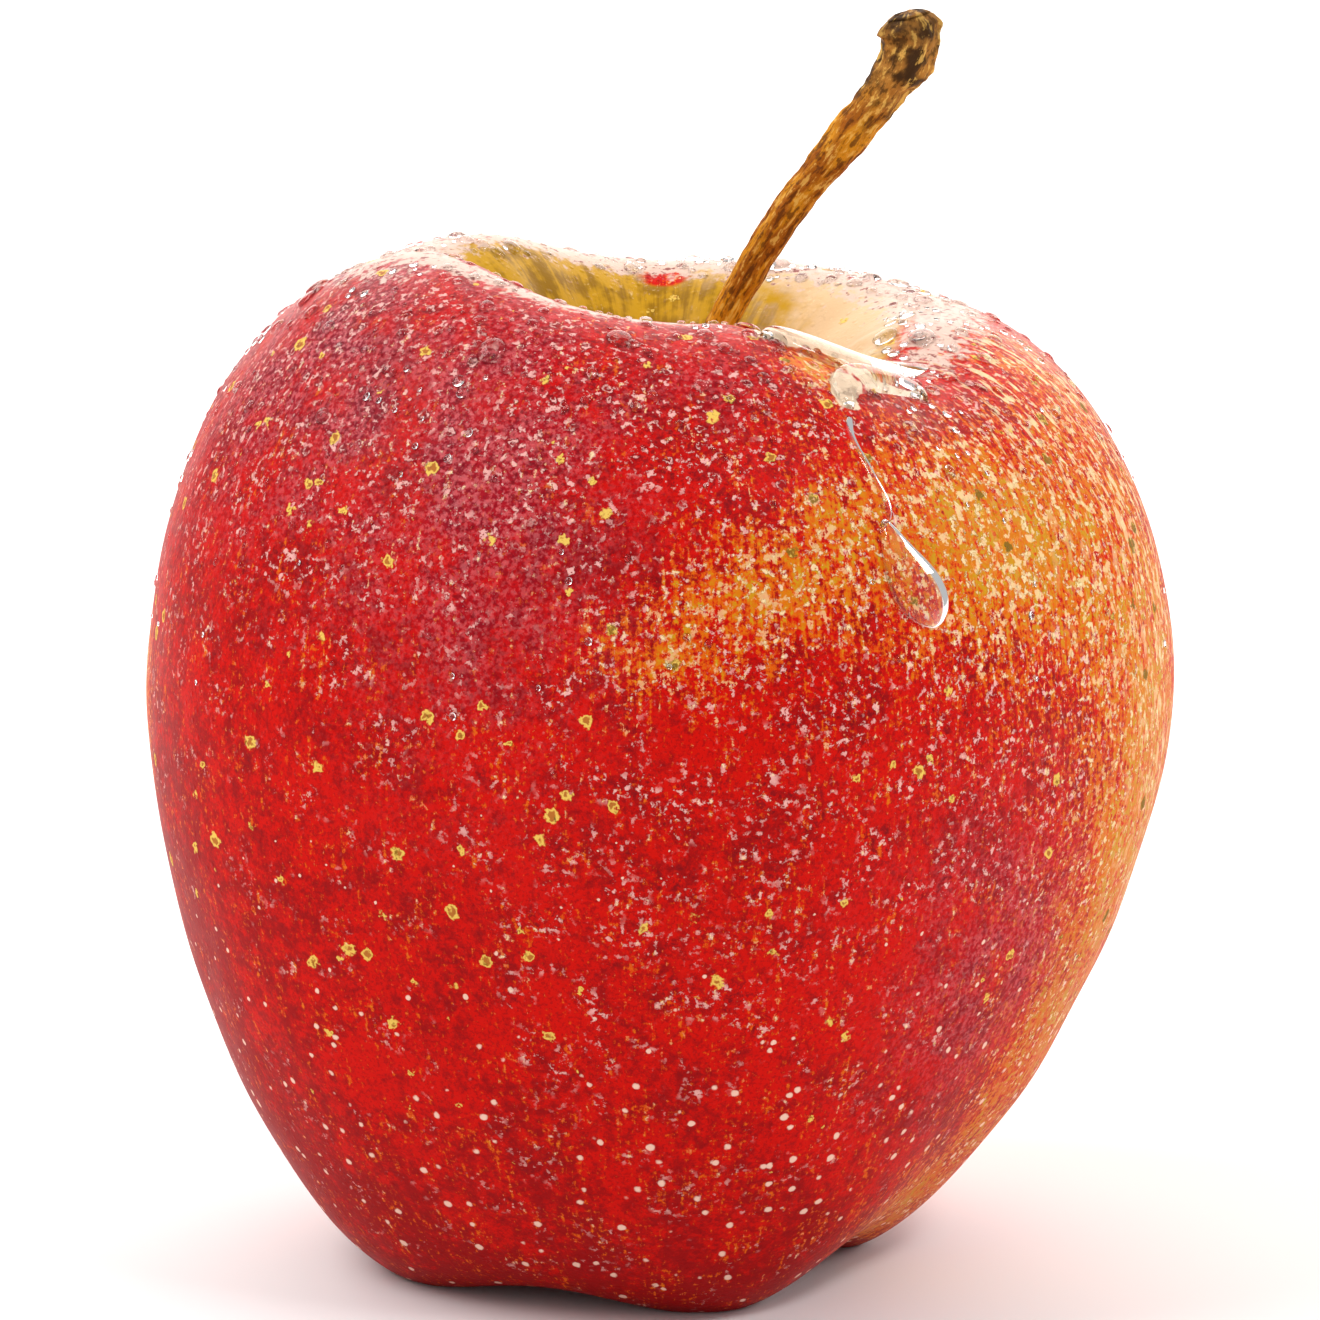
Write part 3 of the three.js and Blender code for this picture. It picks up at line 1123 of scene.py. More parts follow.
    def _sizes(self, azimuth: Array) -> dict[str, Array]:
        """The leading sizes between the ribs on both sides of each place.

        Args:
            azimuth: Degrees round the fruit.

        Returns:
            By name, the reach and height of the shoulder and of the foot, and the reach of the belly.
        """
        first = self.ribs[0].azimuth
        turned_to = (azimuth - first) % 360 + first
        starts = np.array([rib.azimuth for rib in self.ribs], float)
        here = np.searchsorted(starts, turned_to, side="right") - 1
        after = (here + 1) % len(self.ribs)
        share = (turned_to - starts[here]) / ((starts[after] - starts[here]) % 360)
        valley = np.sin(np.pi * share) ** 2
        eased = (1 - np.cos(np.pi * share)) / 2

        def between(name: str) -> Array:
            """A rib's size blended into the next one's."""
            values = np.array([getattr(rib, name) for rib in self.ribs])
            return values[here] * (1 - eased) + values[after] * eased

        dips = np.array([rib.dip for rib in self.ribs])[here]
        rises = np.array([rib.rise for rib in self.ribs])[here]
        return {
            "shoulder_reach": self.shoulder_reach + self.valley_shoulder_reach * valley,
            "shoulder": between("shoulder") - dips * valley,
            "belly": between("belly") - self.valley_belly_depth * valley,
            "foot_reach": between("foot"),
            "foot": rises * valley - self.flat_spot_depth,
        }

    def point(self, azimuth: Array, walk: Array) -> Array:
        """The fruit's plain surface.

        Args:
            azimuth: Degrees round the fruit.
            walk: How far down the meridian, from 0 to 4.

        Returns:
            A row of three metres for each place, in the frame.
        """
        s = self._sizes(azimuth)
        zero = np.zeros_like(s["belly"])
        leg = np.clip(np.floor(walk), 0, 3)
        share = walk - leg
        shoulder, belly, foot = s["shoulder_reach"], s["belly"], s["foot_reach"]
        reaches = (
            (zero, zero + self.cavity_floor_reach, shoulder - self.cavity_lip_rounding, shoulder),
            (shoulder, shoulder + self.shoulder_rounding, belly, belly),
            (belly, belly, foot + self.foot_rounding, foot),
            (foot, foot - self.basin_lip_rounding, zero + self.basin_floor_reach, zero),
        )
        top, middle = s["shoulder"], zero + self.belly_height
        floor, ceiling = zero + self.cavity_floor_height, zero + self.basin_floor_height
        heights = (
            (floor, floor, top, top),
            (top, top, middle + self.upper_belly_rounding, middle),
            (middle, middle - self.lower_belly_rounding, s["foot"], s["foot"]),
            (s["foot"], s["foot"], ceiling, ceiling),
        )
        reach = sum(np.where(leg == k, bezier(*reaches[k], share), 0) for k in range(4))
        height = sum(np.where(leg == k, bezier(*heights[k], share), 0) for k in range(4))
        turn = np.radians(azimuth)
        flat = np.maximum(height, 0)
        points = np.stack([reach * np.sin(turn), -reach * np.cos(turn), flat], axis=-1) * MM
        return points + np.array(self.axis)

    def outward(self, azimuth: Array, walk: Array) -> Array:
        """The direction straight out of the skin at each place.

        Args:
            azimuth: Degrees round the fruit.
            walk: How far down the meridian.

        Returns:
            A unit vector for each place.
        """
        small_turn, small_walk = 0.05, 0.001
        round_step = self.point(azimuth + small_turn, walk) - self.point(azimuth - small_turn, walk)
        down_step = self.point(azimuth, walk + small_walk) - self.point(azimuth, walk - small_walk)
        normal = np.cross(down_step, round_step)
        length = np.linalg.norm(normal, axis=-1, keepdims=True)
        return normal / np.maximum(length, 1e-15)

    def _walks(self) -> Array:
        """The walk of each row of the skin."""
        legs = [leg + np.arange(rows) / rows for leg, rows in enumerate(self.rows_per_leg)]
        return np.concatenate([*legs, [4.0]])

    def build(self, finish: SkinFinish) -> bpy.types.Object:
        """Turns a plain apple, presses the ribs and the relief into it and dresses it.

        Args:
            finish: The skin's finish.

        Returns:
            The skin.
        """
        walks = self._walks()
        plain = self.point(np.full_like(walks, self.ribs[0].azimuth), walks) - np.array(self.axis)
        reaches = np.hypot(plain[:, 0], plain[:, 1])
        reaches[[0, -1]] = 0
        skin = turned("apple_skin", list(zip(reaches, plain[:, 2], strict=True)), self.columns)
        mesh = skin.data
        walk = np.interp(read_shares(mesh), np.linspace(0, 1, len(walks)), walks)
        azimuth = turns_of(read_points(mesh))
        points = self.point(azimuth, walk)
        inside = np.clip(walk, 0.002, 3.998)
        points += self.outward(azimuth, inside) * (self._relief(points, azimuth, walk) * MM)[:, None]
        points[:, 2] = np.maximum(points[:, 2], 0)
        write_points(mesh, points)
        self._give_fields(mesh, azimuth, walk)
        finish_normals(skin)
        settle(skin, finish.material(), ["apple_body"])
        return skin

    def _relief(self, points: Array, azimuth: Array, walk: Array) -> Array:
        """How far each vertex stands out of the plain surface, in millimetres.

        Args:
            points: The plain surface's vertices in metres.
            azimuth: Degrees round the fruit.
            walk: How far down the meridian.

        Returns:
            One height for each vertex.
        """
        lumps = self.lump_height * soft_lumps(points, self.lump_length, 28, seed=5)
        off_poles = smooth_step(walk, 0.1, 0.5) * smooth_step(walk, 3.9, 3.5)
        off_foot = 1 - smooth_step(walk, 2.75, 2.9) * smooth_step(walk, 3.25, 3.1)
        furrows = sum(np.cos(np.radians(count * azimuth) + count**2) for count in self.furrow_counts)
        in_hollow = smooth_step(walk, 0.15, 0.5) * smooth_step(walk, 1.0, 0.75)
        return lumps * off_poles * off_foot + self.furrow_depth * furrows / 2 * in_hollow

    def _give_fields(self, mesh: bpy.types.Mesh, azimuth: Array, walk: Array) -> None:
        """Stores what the finish reads: walk, each shade, and coordinates drawn out along the meridians.

        Args:
            mesh: The skin's mesh.
            azimuth: Degrees round the fruit.
            walk: How far down the meridian.
        """
        give_field(mesh, "walk", walk)
        give_field(mesh, "blush", 1 - overlaid(self.golden, azimuth, walk))
        shades = {
            "bloom": self.bloom_and_sheen_patches,
            "shade": self.painted_shade_patches,
            "cream": self.lit_hollow_patches,
            "mist": self.misty,
            "dashed": self.dashed,
            "rim_highlight": self.rim_highlight_patches,
            "film": self.pool_highlight_patches,
        }
        for name, patches in shades.items():
            give_field(mesh, name, overlaid(patches, azimuth, walk))
        red_lips = overlaid(self.red_lips, azimuth, walk)
        give_field(mesh, "hollow", (1 - smooth_step(walk, 0.8, 1.1)) * (1 - red_lips))
        turn = np.radians(azimuth)
        belly = self.ribs[0].belly
        meridian = np.cumsum(np.concatenate([[0], self._row_lengths()]))
        down = np.interp(walk, self._walks(), meridian) * self.streak_stretch
        around = np.stack([belly * np.sin(turn), -belly * np.cos(turn), down], axis=-1)
        give_field(mesh, "streaks", around * MM)

    def _row_lengths(self) -> Array:
        """The distance between neighbouring rows on the first rib, in millimetres.

        Returns:
            One distance for each pair of rows.
        """
        walks = self._walks()
        points = self.point(np.full_like(walks, self.ribs[0].azimuth), walks)
        return np.linalg.norm(np.diff(points, axis=0), axis=1) / MM


# ---------------------------------------------------------------- stalk and calyx


def swept(
    piece: bpy.types.Object, line: Line, half_depth: Section, half_width: Section
) -> tuple[Array, Array, Array]:
    """Bends a turned rod onto a line, with its section set by share and turn.

    Args:
        piece: The turned rod.
        line: Where its middle goes.
        half_depth: Half the section in the line's plane, in millimetres, for shares and turns in radians.
        half_width: Half the section across that plane, in the same way.

    Returns:
        The new vertices in millimetres, and each one's share and turn.
    """
    share = read_shares(piece.data)
    turn = np.radians(turns_of(read_points(piece.data)))
    centre, along = line.at(share)
    depth = np.cross(along, np.array([0.0, 1.0, 0.0]))
    depth /= np.linalg.norm(depth, axis=1, keepdims=True)
    width = np.cross(depth, along)
    out = depth * (half_depth(share, turn) * np.sin(turn))[:, None]
    side = width * (half_width(share, turn) * -np.cos(turn))[:, None]
    return centre + out + side, share, turn


def rod_profile(rows: int) -> list[tuple[float, float]]:
    """A plain closed rod one millimetre high, as a blank for sweeping.

    Args:
        rows: How many rows of faces it has.

    Returns:
        Reach and height of each point in metres, from the top pole down.
    """
    heights = np.linspace(1, 0, rows + 1)
    reaches = [0.0, *[0.3 * MM] * (rows - 1), 0.0]
    return [(reach, float(height) * MM) for reach, height in zip(reaches, heights, strict=True)]


def end_rounding(share: Array, reach: float) -> Array:
    """1 along a rod, rounding off to 0 over reach at both of its ends."""
    left = np.clip(np.minimum(share, 1 - share) / reach, 0, 1)
    return np.sqrt(1 - (1 - left) ** 2)


@dataclass
class Stalk:
    """The woody stalk, from its scarred knob down to its foot in the cavity."""

    line: Line = Line(
        (
            (17.9, -1.4, 91.7),
            (18.2, -1.4, 89.2),
            (16.3, -1.2, 86.0),
            (13.4, -0.9, 82.2),
            (8.65, -0.4, 76.0),
            (4.4, 0.0, 68.6),
            (1.5, 0.1, 62.0),
            (0.2, 0.0, 53.9),
        )
    )
    thickness: tuple[float, ...] = (3.8, 3.75, 2.85, 3.0, 2.5, 2.5, 2.35, 2.2, 2.15, 2.1, 2.1, 2.2, 2.6)
    end_reach: float = 0.03
    rows: int = 260
    sides: int = 72
    ridge_height: float = 0.03
    lip_reach: float = 0.75
    lip_share: float = 0.042
    lip_breadth: float = 0.036
    lip_azimuth: float = -90.0
    lip_half_angle: float = 65.0
    lump_height: float = 0.10
    coarse_lump: float = 2.2
    fine_lump: float = 0.9
    plain_roughness: float = 0.35
    knob_roughness: float = 1.2
    knob_share: float = 0.16
    grain_stretch: float = 0.28

    def _half(self, share: Array, turn: Array) -> Array:
        """Half the stalk's thickness at each share and turn.

        Args:
            share: How far down the stalk, from 0 to 1.
            turn: Radians round it.

        Returns:
            Millimetres at each place.
        """
        knots = np.linspace(0, 1, len(self.thickness))
        thickness = np.interp(share, knots, self.thickness)
        ridges = sum(
            np.cos(count * turn + twist * share + count) / math.sqrt(count / 5)
            for count, twist in ((5, 9.0), (8, -6.0), (13, 4.0), (21, 7.0))
        )
        near_lip = (share - self.lip_share) / self.lip_breadth
        off_lip = turned_round(np.degrees(turn), self.lip_azimuth) / self.lip_half_angle
        lip = np.exp(-(near_lip**2)) * np.exp(-(off_lip**2))
        plain = thickness / 2 * (1 + self.ridge_height * ridges)
        return (plain + self.lip_reach * lip) * end_rounding(share, self.end_reach)

    def build(self, axis: Vector, finish: BarkFinish) -> bpy.types.Object:
        """Turns a rod, bends it onto the stalk's line and wrinkles it.

        Args:
            axis: Where the fruit's axis stands.
            finish: The bark's finish.

        Returns:
            The stalk.
        """
        stalk = turned("woody_stalk", rod_profile(self.rows), self.sides)
        points, share, turn = swept(stalk, self.line, self._half, self._half)
        centre, _ = self.line.at(share)
        out = points - centre
        knobby = self.plain_roughness + self.knob_roughness * np.exp(-((share / self.knob_share) ** 2))
        lumps = soft_lumps(points * MM, self.coarse_lump, 30, seed=11) * knobby
        lumps += 0.5 * soft_lumps(points * MM, self.fine_lump, 30, seed=12) * knobby
        outward = out / np.maximum(np.linalg.norm(out, axis=1, keepdims=True), 1e-6)
        points = points + outward * (self.lump_height * lumps)[:, None] * end_rounding(share, 0.02)[:, None]
        write_points(stalk.data, points * MM + np.array(axis))
        run = share * self.line.length() * self.grain_stretch
        give_field(stalk.data, "grain", np.stack([np.sin(turn) * 1.5, np.cos(turn) * 1.5, run], axis=-1) * MM)
        finish_normals(stalk)
        settle(stalk, finish.material(), ["stem"])
        return stalk


@dataclass
class Calyx:
    """What is left of the flower in the basin: five curled sepals round a tuft of stamens."""

    sepal_count: int = 5
    first_azimuth: float = 47.0
    sepal_line: Line = Line(
        ((2.7, 0, 9.2), (2.3, 0, 7.6), (2.4, 0, 5.8), (3.3, 0, 4.1), (4.7, 0, 3.2), (6.0, 0, 3.5))
    )
    sepal_width: float = 3.3
    sepal_thickness: float = 0.55
    sepal_rows: int = 48
    sepal_sides: int = 28
    filament_count: int = 20
    filament_thickness: float = 0.26
    tuft_top: float = 9.6
    tuft_bottom: float = 4.3
    tuft_spread: float = 1.3
    turn_between_filaments: float = 137.5
    seed: int = 31

    def build(self, axis: Vector, sepal_finish: DriedFinish, stamen_finish: DriedFinish) -> None:
        """Builds and dresses every sepal and the tuft.

        Args:
            axis: Where the fruit's axis stands.
            sepal_finish: The sepals' finish.
            stamen_finish: The stamens' finish.
        """
        sepal_material = sepal_finish.material()
        for index in range(self.sepal_count):
            settle(self._sepal(index, axis), sepal_material, [f"sepal_{index + 1}"])
        settle(self._tuft(axis), stamen_finish.material(), ["stamen_tuft"])

    def _sepal(self, index: int, axis: Vector) -> bpy.types.Object:
        """One sepal: a thin, wavy blade that narrows to its curled tip.

        Args:
            index: Which of the sepals it is.
            axis: Where the fruit's axis stands.

        Returns:
            The sepal.
        """

        def half_width(share: Array, turn: Array) -> Array:
            """Half the blade's breadth, with a slightly ragged edge."""
            ragged = 1 + 0.06 * np.sin(37 * share + index) + 0.05 * np.sin(61 * share + 2 * index)
            return self.sepal_width / 2 * end_rounding(share, 0.12) * (1 - 0.78 * share**1.5) * ragged

        def half_depth(share: Array, turn: Array) -> Array:
            """Half the blade's thickness, with a raised midrib on its outer face."""
            midrib = 1 + 0.7 * np.exp(-((turned_round(np.degrees(turn), 90) / 24) ** 2))
            return self.sepal_thickness / 2 * end_rounding(share, 0.12) * midrib

        sepal = turned(f"dried_sepal_{index + 1}", rod_profile(self.sepal_rows), self.sepal_sides)
        points, share, _ = swept(sepal, self.sepal_line, half_depth, half_width)
        edge = np.abs(points[:, 1]) / (self.sepal_width / 2)
        points[:, 0] += 0.35 * edge**2 * np.sin(9 * share + 1.7 * index) * share
        points[:, 2] = np.maximum(points[:, 2], 0.8)
        angle = math.radians(self.first_azimuth + 360 * index / self.sepal_count - 90)
        cos, sin = math.cos(angle), math.sin(angle)
        turning = np.array([[cos, sin, 0], [-sin, cos, 0], [0, 0, 1]])
        write_points(sepal.data, points @ turning * MM + np.array(axis))
        finish_normals(sepal)
        return sepal

    def _tuft(self, axis: Vector) -> bpy.types.Object:
        """The stamens: thin filaments, each ending in a small dried anther, leaning apart.

        Args:
            axis: Where the fruit's axis stands.

        Returns:
            All the filaments as one piece.
        """
        rows = 14
        heights = np.linspace(0, 1, rows)
        swell = 1 + 1.3 * np.exp(-(((heights - 0.93) / 0.05) ** 2))
        reaches = self.filament_thickness / 2 * swell * np.sin(np.clip(heights * 8, 0, math.pi / 2))
        reaches[-1] = 0
        drops = -heights * (self.tuft_top - self.tuft_bottom)
        profile = [(float(reach) * MM, float(drop) * MM) for reach, drop in zip(reaches, drops, strict=True)]
        filament = turned("stamen_filament", profile, 8)
        rng = np.random.default_rng(self.seed)
        places = []
        for index in range(self.filament_count):
            spread = self.tuft_spread * math.sqrt((index + 0.5) / self.filament_count)
            turn = index * math.radians(self.turn_between_filaments)
            lean = 0.10 * spread + rng.normal(0, 0.05)
            drop = rng.uniform(0.75, 1.0)
            root = Vector((0.55 * spread * math.sin(turn), 0.55 * spread * math.cos(turn), self.tuft_top))
            place = np.eye(4)
            place[:3, 2] = (-lean * math.sin(turn) * 1.6, -lean * math.cos(turn) * 1.6, drop)
            place[:3, 3] = np.array(root) * MM + np.array(axis)
            places.append(place)
        return stamped("stamen_filaments", filament, np.array(places))


# ---------------------------------------------------------------- water


@dataclass(frozen=True)
class Beads:
    """One size of water bead scattered over the skin."""

    name: str
    count: int
    smallest: float
    largest: float
    rings: int
    sides: int
    lowest_walk: float
    seed: int
    height_share: float = 0.28
    sunk_share: float = 0.12
    highest_walk: float = 0.86
    belly_reach: float = 38.0
    thinning: float = 0.93
    closeness: float = 0.55

    def build(self, fruit: Fruit, water: bpy.types.Material) -> bpy.types.Object:
        """Models one bead, scatters copies over the skin and dresses them.

        Args:
            fruit: The fruit that the beads sit on.
            water: The water's material.

        Returns:
            All the beads of this size.
        """
        azimuths, walks, sizes = self._spots(fruit)
        points, normals = fruit.point(azimuths, walks), fruit.outward(azimuths, walks)
        sideways = np.cross(normals, np.array([0.0, 0.0, 1.0]))
        sideways /= np.linalg.norm(sideways, axis=1, keepdims=True)
        downhill = np.cross(normals, sideways)
        rng = np.random.default_rng(self.seed + 1)
        stretch = rng.uniform(1.0, 1.25, len(sizes))
        places = np.zeros((len(sizes), 4, 4))
        places[:, :3, 0] = sideways * sizes[:, None]
        places[:, :3, 1] = downhill * (sizes * stretch)[:, None]
        places[:, :3, 2] = normals * (sizes * rng.uniform(0.8, 1.15, len(sizes)))[:, None]
        places[:, :3, 3] = points
        places[:, 3, 3] = 1
        beads = stamped(self.name, self._bead(), places)
        settle(beads, water)
        return beads

    def _bead(self) -> bpy.types.Object:
        """A bead one metre across: a low dome with a shallow foot sunk into the skin.

        Returns:
            The bead.
        """
        angles = np.linspace(0, math.pi / 2, self.rings)
        dome = [(0.5 * math.sin(angle) ** 0.9, self.height_share * math.cos(angle)) for angle in angles]
        profile = [*dome, (0.40, -self.sunk_share), (0.0, -self.sunk_share)]
        return turned("bead_blank", profile, self.sides)

    def _spots(self, fruit: Fruit) -> tuple[Array, Array, Array]:
        """Places and sizes of beads that keep clear of each other, closer together towards the shoulder.

        Args:
            fruit: The fruit that the beads sit on.

        Returns:
            Each bead's azimuth, walk and size in metres.
        """
        rng = np.random.default_rng(self.seed)
        chosen: list[tuple[float, float, float]] = []
        kept = np.zeros((0, 3))
        reach = np.zeros(0)
        while len(chosen) < self.count:
            azimuth, walk = rng.uniform(-180, 180), rng.uniform(self.highest_walk, self.lowest_walk)
            crowding = 1 - smooth_step(np.array(walk), 1.1, self.lowest_walk) * self.thinning
            size = (self.smallest + (self.largest - self.smallest) * rng.random() ** 2) * MM
            spot = fruit.point(np.array([azimuth]), np.array([walk]))[0]
            spread = math.hypot(spot[0], spot[1]) / (self.belly_reach * MM)
            if rng.random() > crowding * spread:
                continue
            if (np.linalg.norm(kept - spot, axis=1) < (reach + size) * self.closeness).any():
                continue
            chosen.append((azimuth, walk, size))
            kept = np.vstack([kept, spot])
            reach = np.append(reach, size)
        table = np.array(chosen)
        return table[:, 0], table[:, 1], table[:, 2]


@dataclass(frozen=True)
class Puddle:
    """A film of water lying on the skin along a path of azimuths and walks."""

    name: str
    path: tuple[tuple[float, float], ...]
    widths: tuple[float, ...]
    height: float
    rows: int = 60
    sides: int = 32
    sunk: float = 0.12
    look_ahead: float = 0.01

    def build(self, fruit: Fruit, water: bpy.types.Material) -> bpy.types.Object:
        """Turns a rod and lays it flat on the skin along the path.

        Args:
            fruit: The fruit that the water lies on.
            water: The water's material.

        Returns:
            The film.
        """
        film = turned(self.name, rod_profile(self.rows), self.sides)
        share = read_shares(film.data)
        turn = np.radians(turns_of(read_points(film.data)))
        knots = np.linspace(0, 1, len(self.path))
        route = np.array(self.path)

        def along(where: Array) -> tuple[Array, Array]:
            """The path's azimuth and walk at these shares of it."""
            inside = np.clip(where, 0, 1)
            return self._smooth(inside, knots, route[:, 0]), self._smooth(inside, knots, route[:, 1])

        azimuth, walk = along(share)
        heading = fruit.point(*along(share + self.look_ahead)) - fruit.point(*along(share - self.look_ahead))
        normal = fruit.outward(azimuth, walk)
        across = np.cross(normal, heading)
        across /= np.linalg.norm(across, axis=1, keepdims=True)
        half = self._smooth(share, np.linspace(0, 1, len(self.widths)), np.array(self.widths)) / 2
        half = half * end_rounding(share, 0.12)
        middle = fruit.point(azimuth, walk)
        edge = middle + across * (half * np.sin(turn) * MM)[:, None]
        dome = self.height * np.sqrt(1 - np.abs(np.sin(turn)) ** 3) * np.sin(math.pi * share) ** 0.6
        lift = np.where(np.cos(turn) > 0, dome, self.sunk * np.cos(turn))
        write_points(film.data, self._onto(fruit, edge, azimuth, walk) + normal * (lift * MM)[:, None])
        finish_normals(film)
        settle(film, water)
        return film

    @staticmethod
    def _smooth(share: Array, knots: Array, values: Array) -> Array:
        """Values along the path, eased between its points.

        Args:
            share: How far along the path each place is.
            knots: The share at each point of the path.
            values: The value at each point of the path.

        Returns:
            One value for each place.
        """
        index = np.clip(np.searchsorted(knots, share, side="right") - 1, 0, len(knots) - 2)
        local = (share - knots[index]) / (knots[index + 1] - knots[index])
        padded = np.concatenate([[2 * values[0] - values[1]], values, [2 * values[-1] - values[-2]]])
        return eased_between(*(padded[index + step] for step in range(4)), local)

    @staticmethod
    def _onto(fruit: Fruit, places: Array, azimuth: Array, walk: Array) -> Array:
        """Slides places near the skin onto it, by a few steps of Newton's method.

        Args:
            fruit: The fruit.
            places: The places, in metres.
            azimuth: A first guess at each one's azimuth.
            walk: A first guess at each one's walk.

        Returns:
            The places on the skin, in metres.
        """
        azimuth, walk = azimuth.copy(), walk.copy()
        for _ in range(4):
            here = fruit.point(azimuth, walk)
            by_turn = (fruit.point(azimuth + 0.1, walk) - here) / 0.1
            by_walk = (fruit.point(azimuth, walk + 0.001) - here) / 0.001
            miss = places - here
            aa, ab, bb = (by_turn**2).sum(1), (by_turn * by_walk).sum(1), (by_walk**2).sum(1)
            ma, mb = (miss * by_turn).sum(1), (miss * by_walk).sum(1)
            det = np.maximum(aa * bb - ab**2, 1e-18)
            azimuth += (ma * bb - mb * ab) / det
            walk += (mb * aa - ma * ab) / det
        return fruit.point(azimuth, walk)


@dataclass
class Wetness:
    """All the water on the fruit: dew in three sizes, and films that have run together."""

    dew: tuple[Beads, ...] = (
        Beads("dew_mist", 700, 0.35, 0.65, rings=3, sides=8, lowest_walk=2.0, seed=1),
        Beads("dew_beads", 320, 0.6, 1.3, rings=4, sides=12, lowest_walk=1.6, seed=2),
        Beads("dew_drops", 12, 1.4, 2.2, rings=9, sides=28, lowest_walk=1.4, seed=3, height_share=0.22),
    )
    films: tuple[Puddle, ...] = (
        Puddle(
            "water_pool",
            ((19, 1.08), (28, 1.03), (38, 1.01), (48, 1.03), (60, 1.09)),
            (0.6, 6.0, 6.5, 3.4, 0.6),
            height=1.4,
        ),
        Puddle(
            "water_crescent",
            ((28, 1.34), (29, 1.26), (33, 1.20), (39, 1.17), (45, 1.18), (47, 1.23)),
            (0.9, 2.2, 2.8, 2.6, 2.0, 0.8),
            height=1.2,
        ),
        Puddle(
            "water_runnel",
            ((28, 1.33), (26.3, 1.41), (27.2, 1.49), (28.5, 1.56), (28.0, 1.6)),
            (1.0, 0.8, 0.8, 0.7, 0.5),
            height=0.2,
        ),
        Puddle(
            "water_tear",
            ((27.4, 1.59), (28.4, 1.65), (29.8, 1.705), (31.6, 1.75), (32.6, 1.79)),
            (0.7, 2.6, 4.2, 4.0, 1.6),
            height=0.55,
        ),
    )

    def build(self, fruit: Fruit, finish: WaterFinish) -> None:
        """Builds and dresses every bead and film.

        Args:
            fruit: The fruit that the water lies on.
            finish: The water's finish.
        """
        water = finish.material()
        for piece in (*self.dew, *self.films):
            piece.build(fruit, water)


# ---------------------------------------------------------------- studio


@dataclass(frozen=True)
class Softbox:
    """A large soft lamp, placed by azimuth and elevation about the fruit."""

    name: str
    azimuth: float
    elevation: float
    distance: float
    width: float
    height: float
    radiance: float
    colour: Colour = (1.0, 1.0, 1.0)

    def build(self, target: Vector) -> None:
        """Hangs the lamp so that it faces the target.

        Args:
            target: What it lights.
        """
        turn, rise = math.radians(self.azimuth), math.radians(self.elevation)
        away = Vector((math.sin(turn) * math.cos(rise), -math.cos(turn) * math.cos(rise), math.sin(rise)))
        lamp = bpy.data.lights.new(self.name, "AREA")
        lamp.shape = "RECTANGLE"
        lamp.size = self.width * MM
        lamp.size_y = self.height * MM
        lamp.energy = self.radiance * math.pi * lamp.size * lamp.size_y
        lamp.color = self.colour
        holder = bpy.data.objects.new(self.name, lamp)
        holder.location = target + away * self.distance * MM
        holder.rotation_euler = away.to_track_quat("Z", "Y").to_euler()
        holder.visible_camera = False
        bpy.context.scene.collection.objects.link(holder)


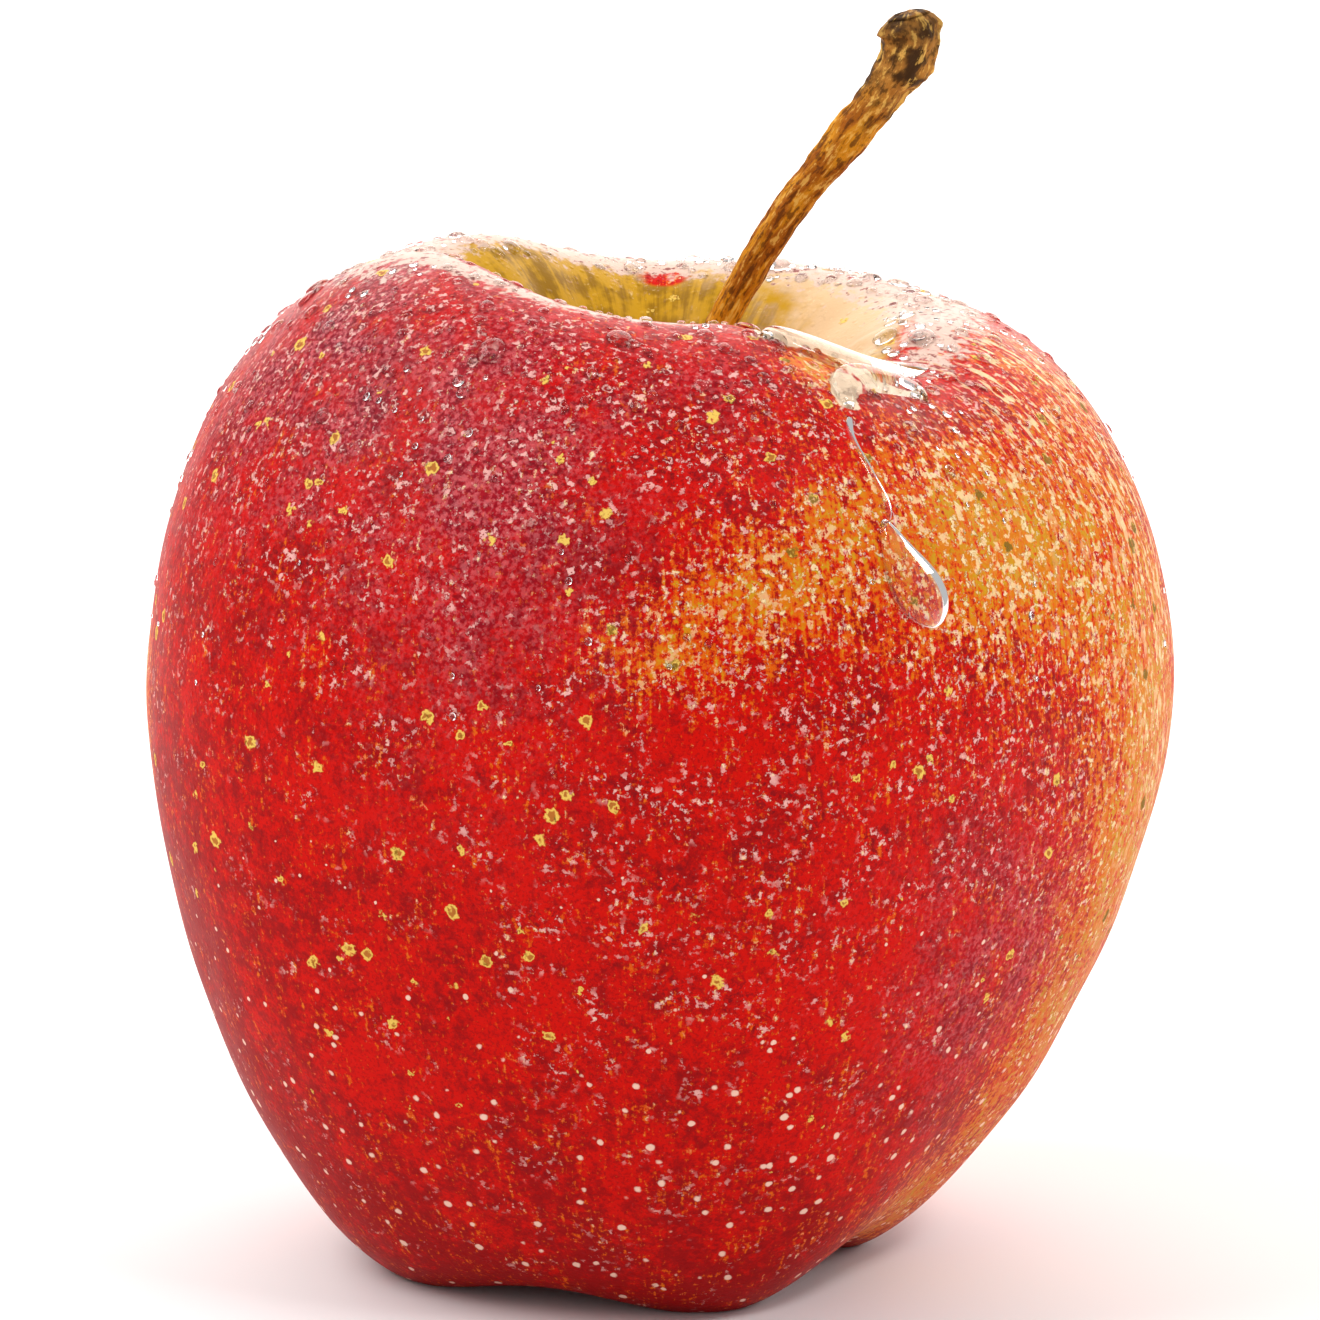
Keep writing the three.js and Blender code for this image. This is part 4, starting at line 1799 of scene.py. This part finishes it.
@dataclass
class Studio:
    """A pale floor under a pale sky, soft lamps and the camera."""

    camera_distance: float = 551.0
    camera_elevation: float = 11.5
    aim_height: float = 43.7
    focal_length: float = 205.0
    sensor: float = 36.0
    floor_size: float = 6000.0
    floor_colour: Colour = (0.86, 0.86, 0.86)
    sky: float = 0.5
    boxes: tuple[Softbox, ...] = (
        Softbox("left_softbox", -86, 48, 1500, 1100, 900, 5.0),
        Softbox("back_softbox", 176, 34, 1800, 2400, 2200, 2.4, (1.0, 0.93, 0.87)),
        Softbox("right_softbox", 97, 27, 1500, 560, 380, 7.5),
        Softbox("front_softbox", 50, 50, 1500, 420, 200, 22.0),
    )

    def build(self, axis: Vector) -> None:
        """Sets the whole studio up round the fruit's axis.

        Args:
            axis: Where the fruit's axis stands.
        """
        self._floor()
        self._sky()
        target = Vector((axis.x, axis.y, self.aim_height * MM))
        for box in self.boxes:
            box.build(target)
        self._camera(target)
        bpy.context.scene.view_settings.view_transform = "Standard"

    def _floor(self) -> None:
        """The pale floor that the fruit stands on."""
        clear_selection()
        bpy.ops.mesh.primitive_grid_add(x_subdivisions=8, y_subdivisions=8, size=self.floor_size * MM)
        floor = bpy.context.object
        floor.name = "studio_floor"
        r = Recipe("pale_floor")
        soft = r.noise(r.place(), 400.0, 2.0)
        lighter = tuple(min(1.0, channel * 1.03) for channel in self.floor_colour)
        r.feed(r.shader.inputs["Base Color"], r.blend(soft, self.floor_colour, lighter))
        r.shader.inputs["Roughness"].default_value = 0.9
        floor.data.materials.append(r.material)

    def _sky(self) -> None:
        """A white backdrop that lights the fruit more softly than it looks."""
        world = bpy.data.worlds.new("studio_sky")
        bpy.context.scene.world = world
        world.use_nodes = True
        nodes, links = world.node_tree.nodes, world.node_tree.links
        nodes.clear()
        seen, lit = nodes.new("ShaderNodeBackground"), nodes.new("ShaderNodeBackground")
        lit.inputs["Strength"].default_value = self.sky
        for background in (seen, lit):
            background.inputs["Color"].default_value = (1, 1, 1, 1)
        path, mix = nodes.new("ShaderNodeLightPath"), nodes.new("ShaderNodeMixShader")
        output = nodes.new("ShaderNodeOutputWorld")
        links.new(path.outputs["Is Camera Ray"], mix.inputs["Fac"])
        links.new(lit.outputs[0], mix.inputs[1])
        links.new(seen.outputs[0], mix.inputs[2])
        links.new(mix.outputs[0], output.inputs["Surface"])

    def _camera(self, target: Vector) -> None:
        """The camera, a little above the fruit and looking at its upper half.

        Args:
            target: What it looks at.
        """
        rise = math.radians(self.camera_elevation)
        away = Vector((0, -math.cos(rise), math.sin(rise)))
        lens = bpy.data.cameras.new("studio_camera")
        lens.lens = self.focal_length
        lens.sensor_width = self.sensor
        lens.clip_start = 0.01
        camera = bpy.data.objects.new("studio_camera", lens)
        camera.location = target + away * self.camera_distance * MM
        camera.rotation_euler = away.to_track_quat("Z", "Y").to_euler()
        bpy.context.scene.collection.objects.link(camera)
        bpy.context.scene.camera = camera


# ---------------------------------------------------------------- making


def main() -> None:
    """Builds the apple and its studio."""
    logging.basicConfig(level=logging.INFO, format="%(name)s: %(message)s")
    fruit = Fruit()
    Studio().build(fruit.axis)
    fruit.build(SkinFinish())
    Stalk().build(fruit.axis, BarkFinish())
    Calyx().build(
        fruit.axis,
        DriedFinish("dried_sepal", light=(0.30, 0.21, 0.10), dark=(0.09, 0.055, 0.025)),
        DriedFinish("dried_stamen", light=(0.16, 0.095, 0.04), dark=(0.04, 0.022, 0.01)),
    )
    Wetness().build(fruit, WaterFinish())


if __name__ == "__main__":
    main()
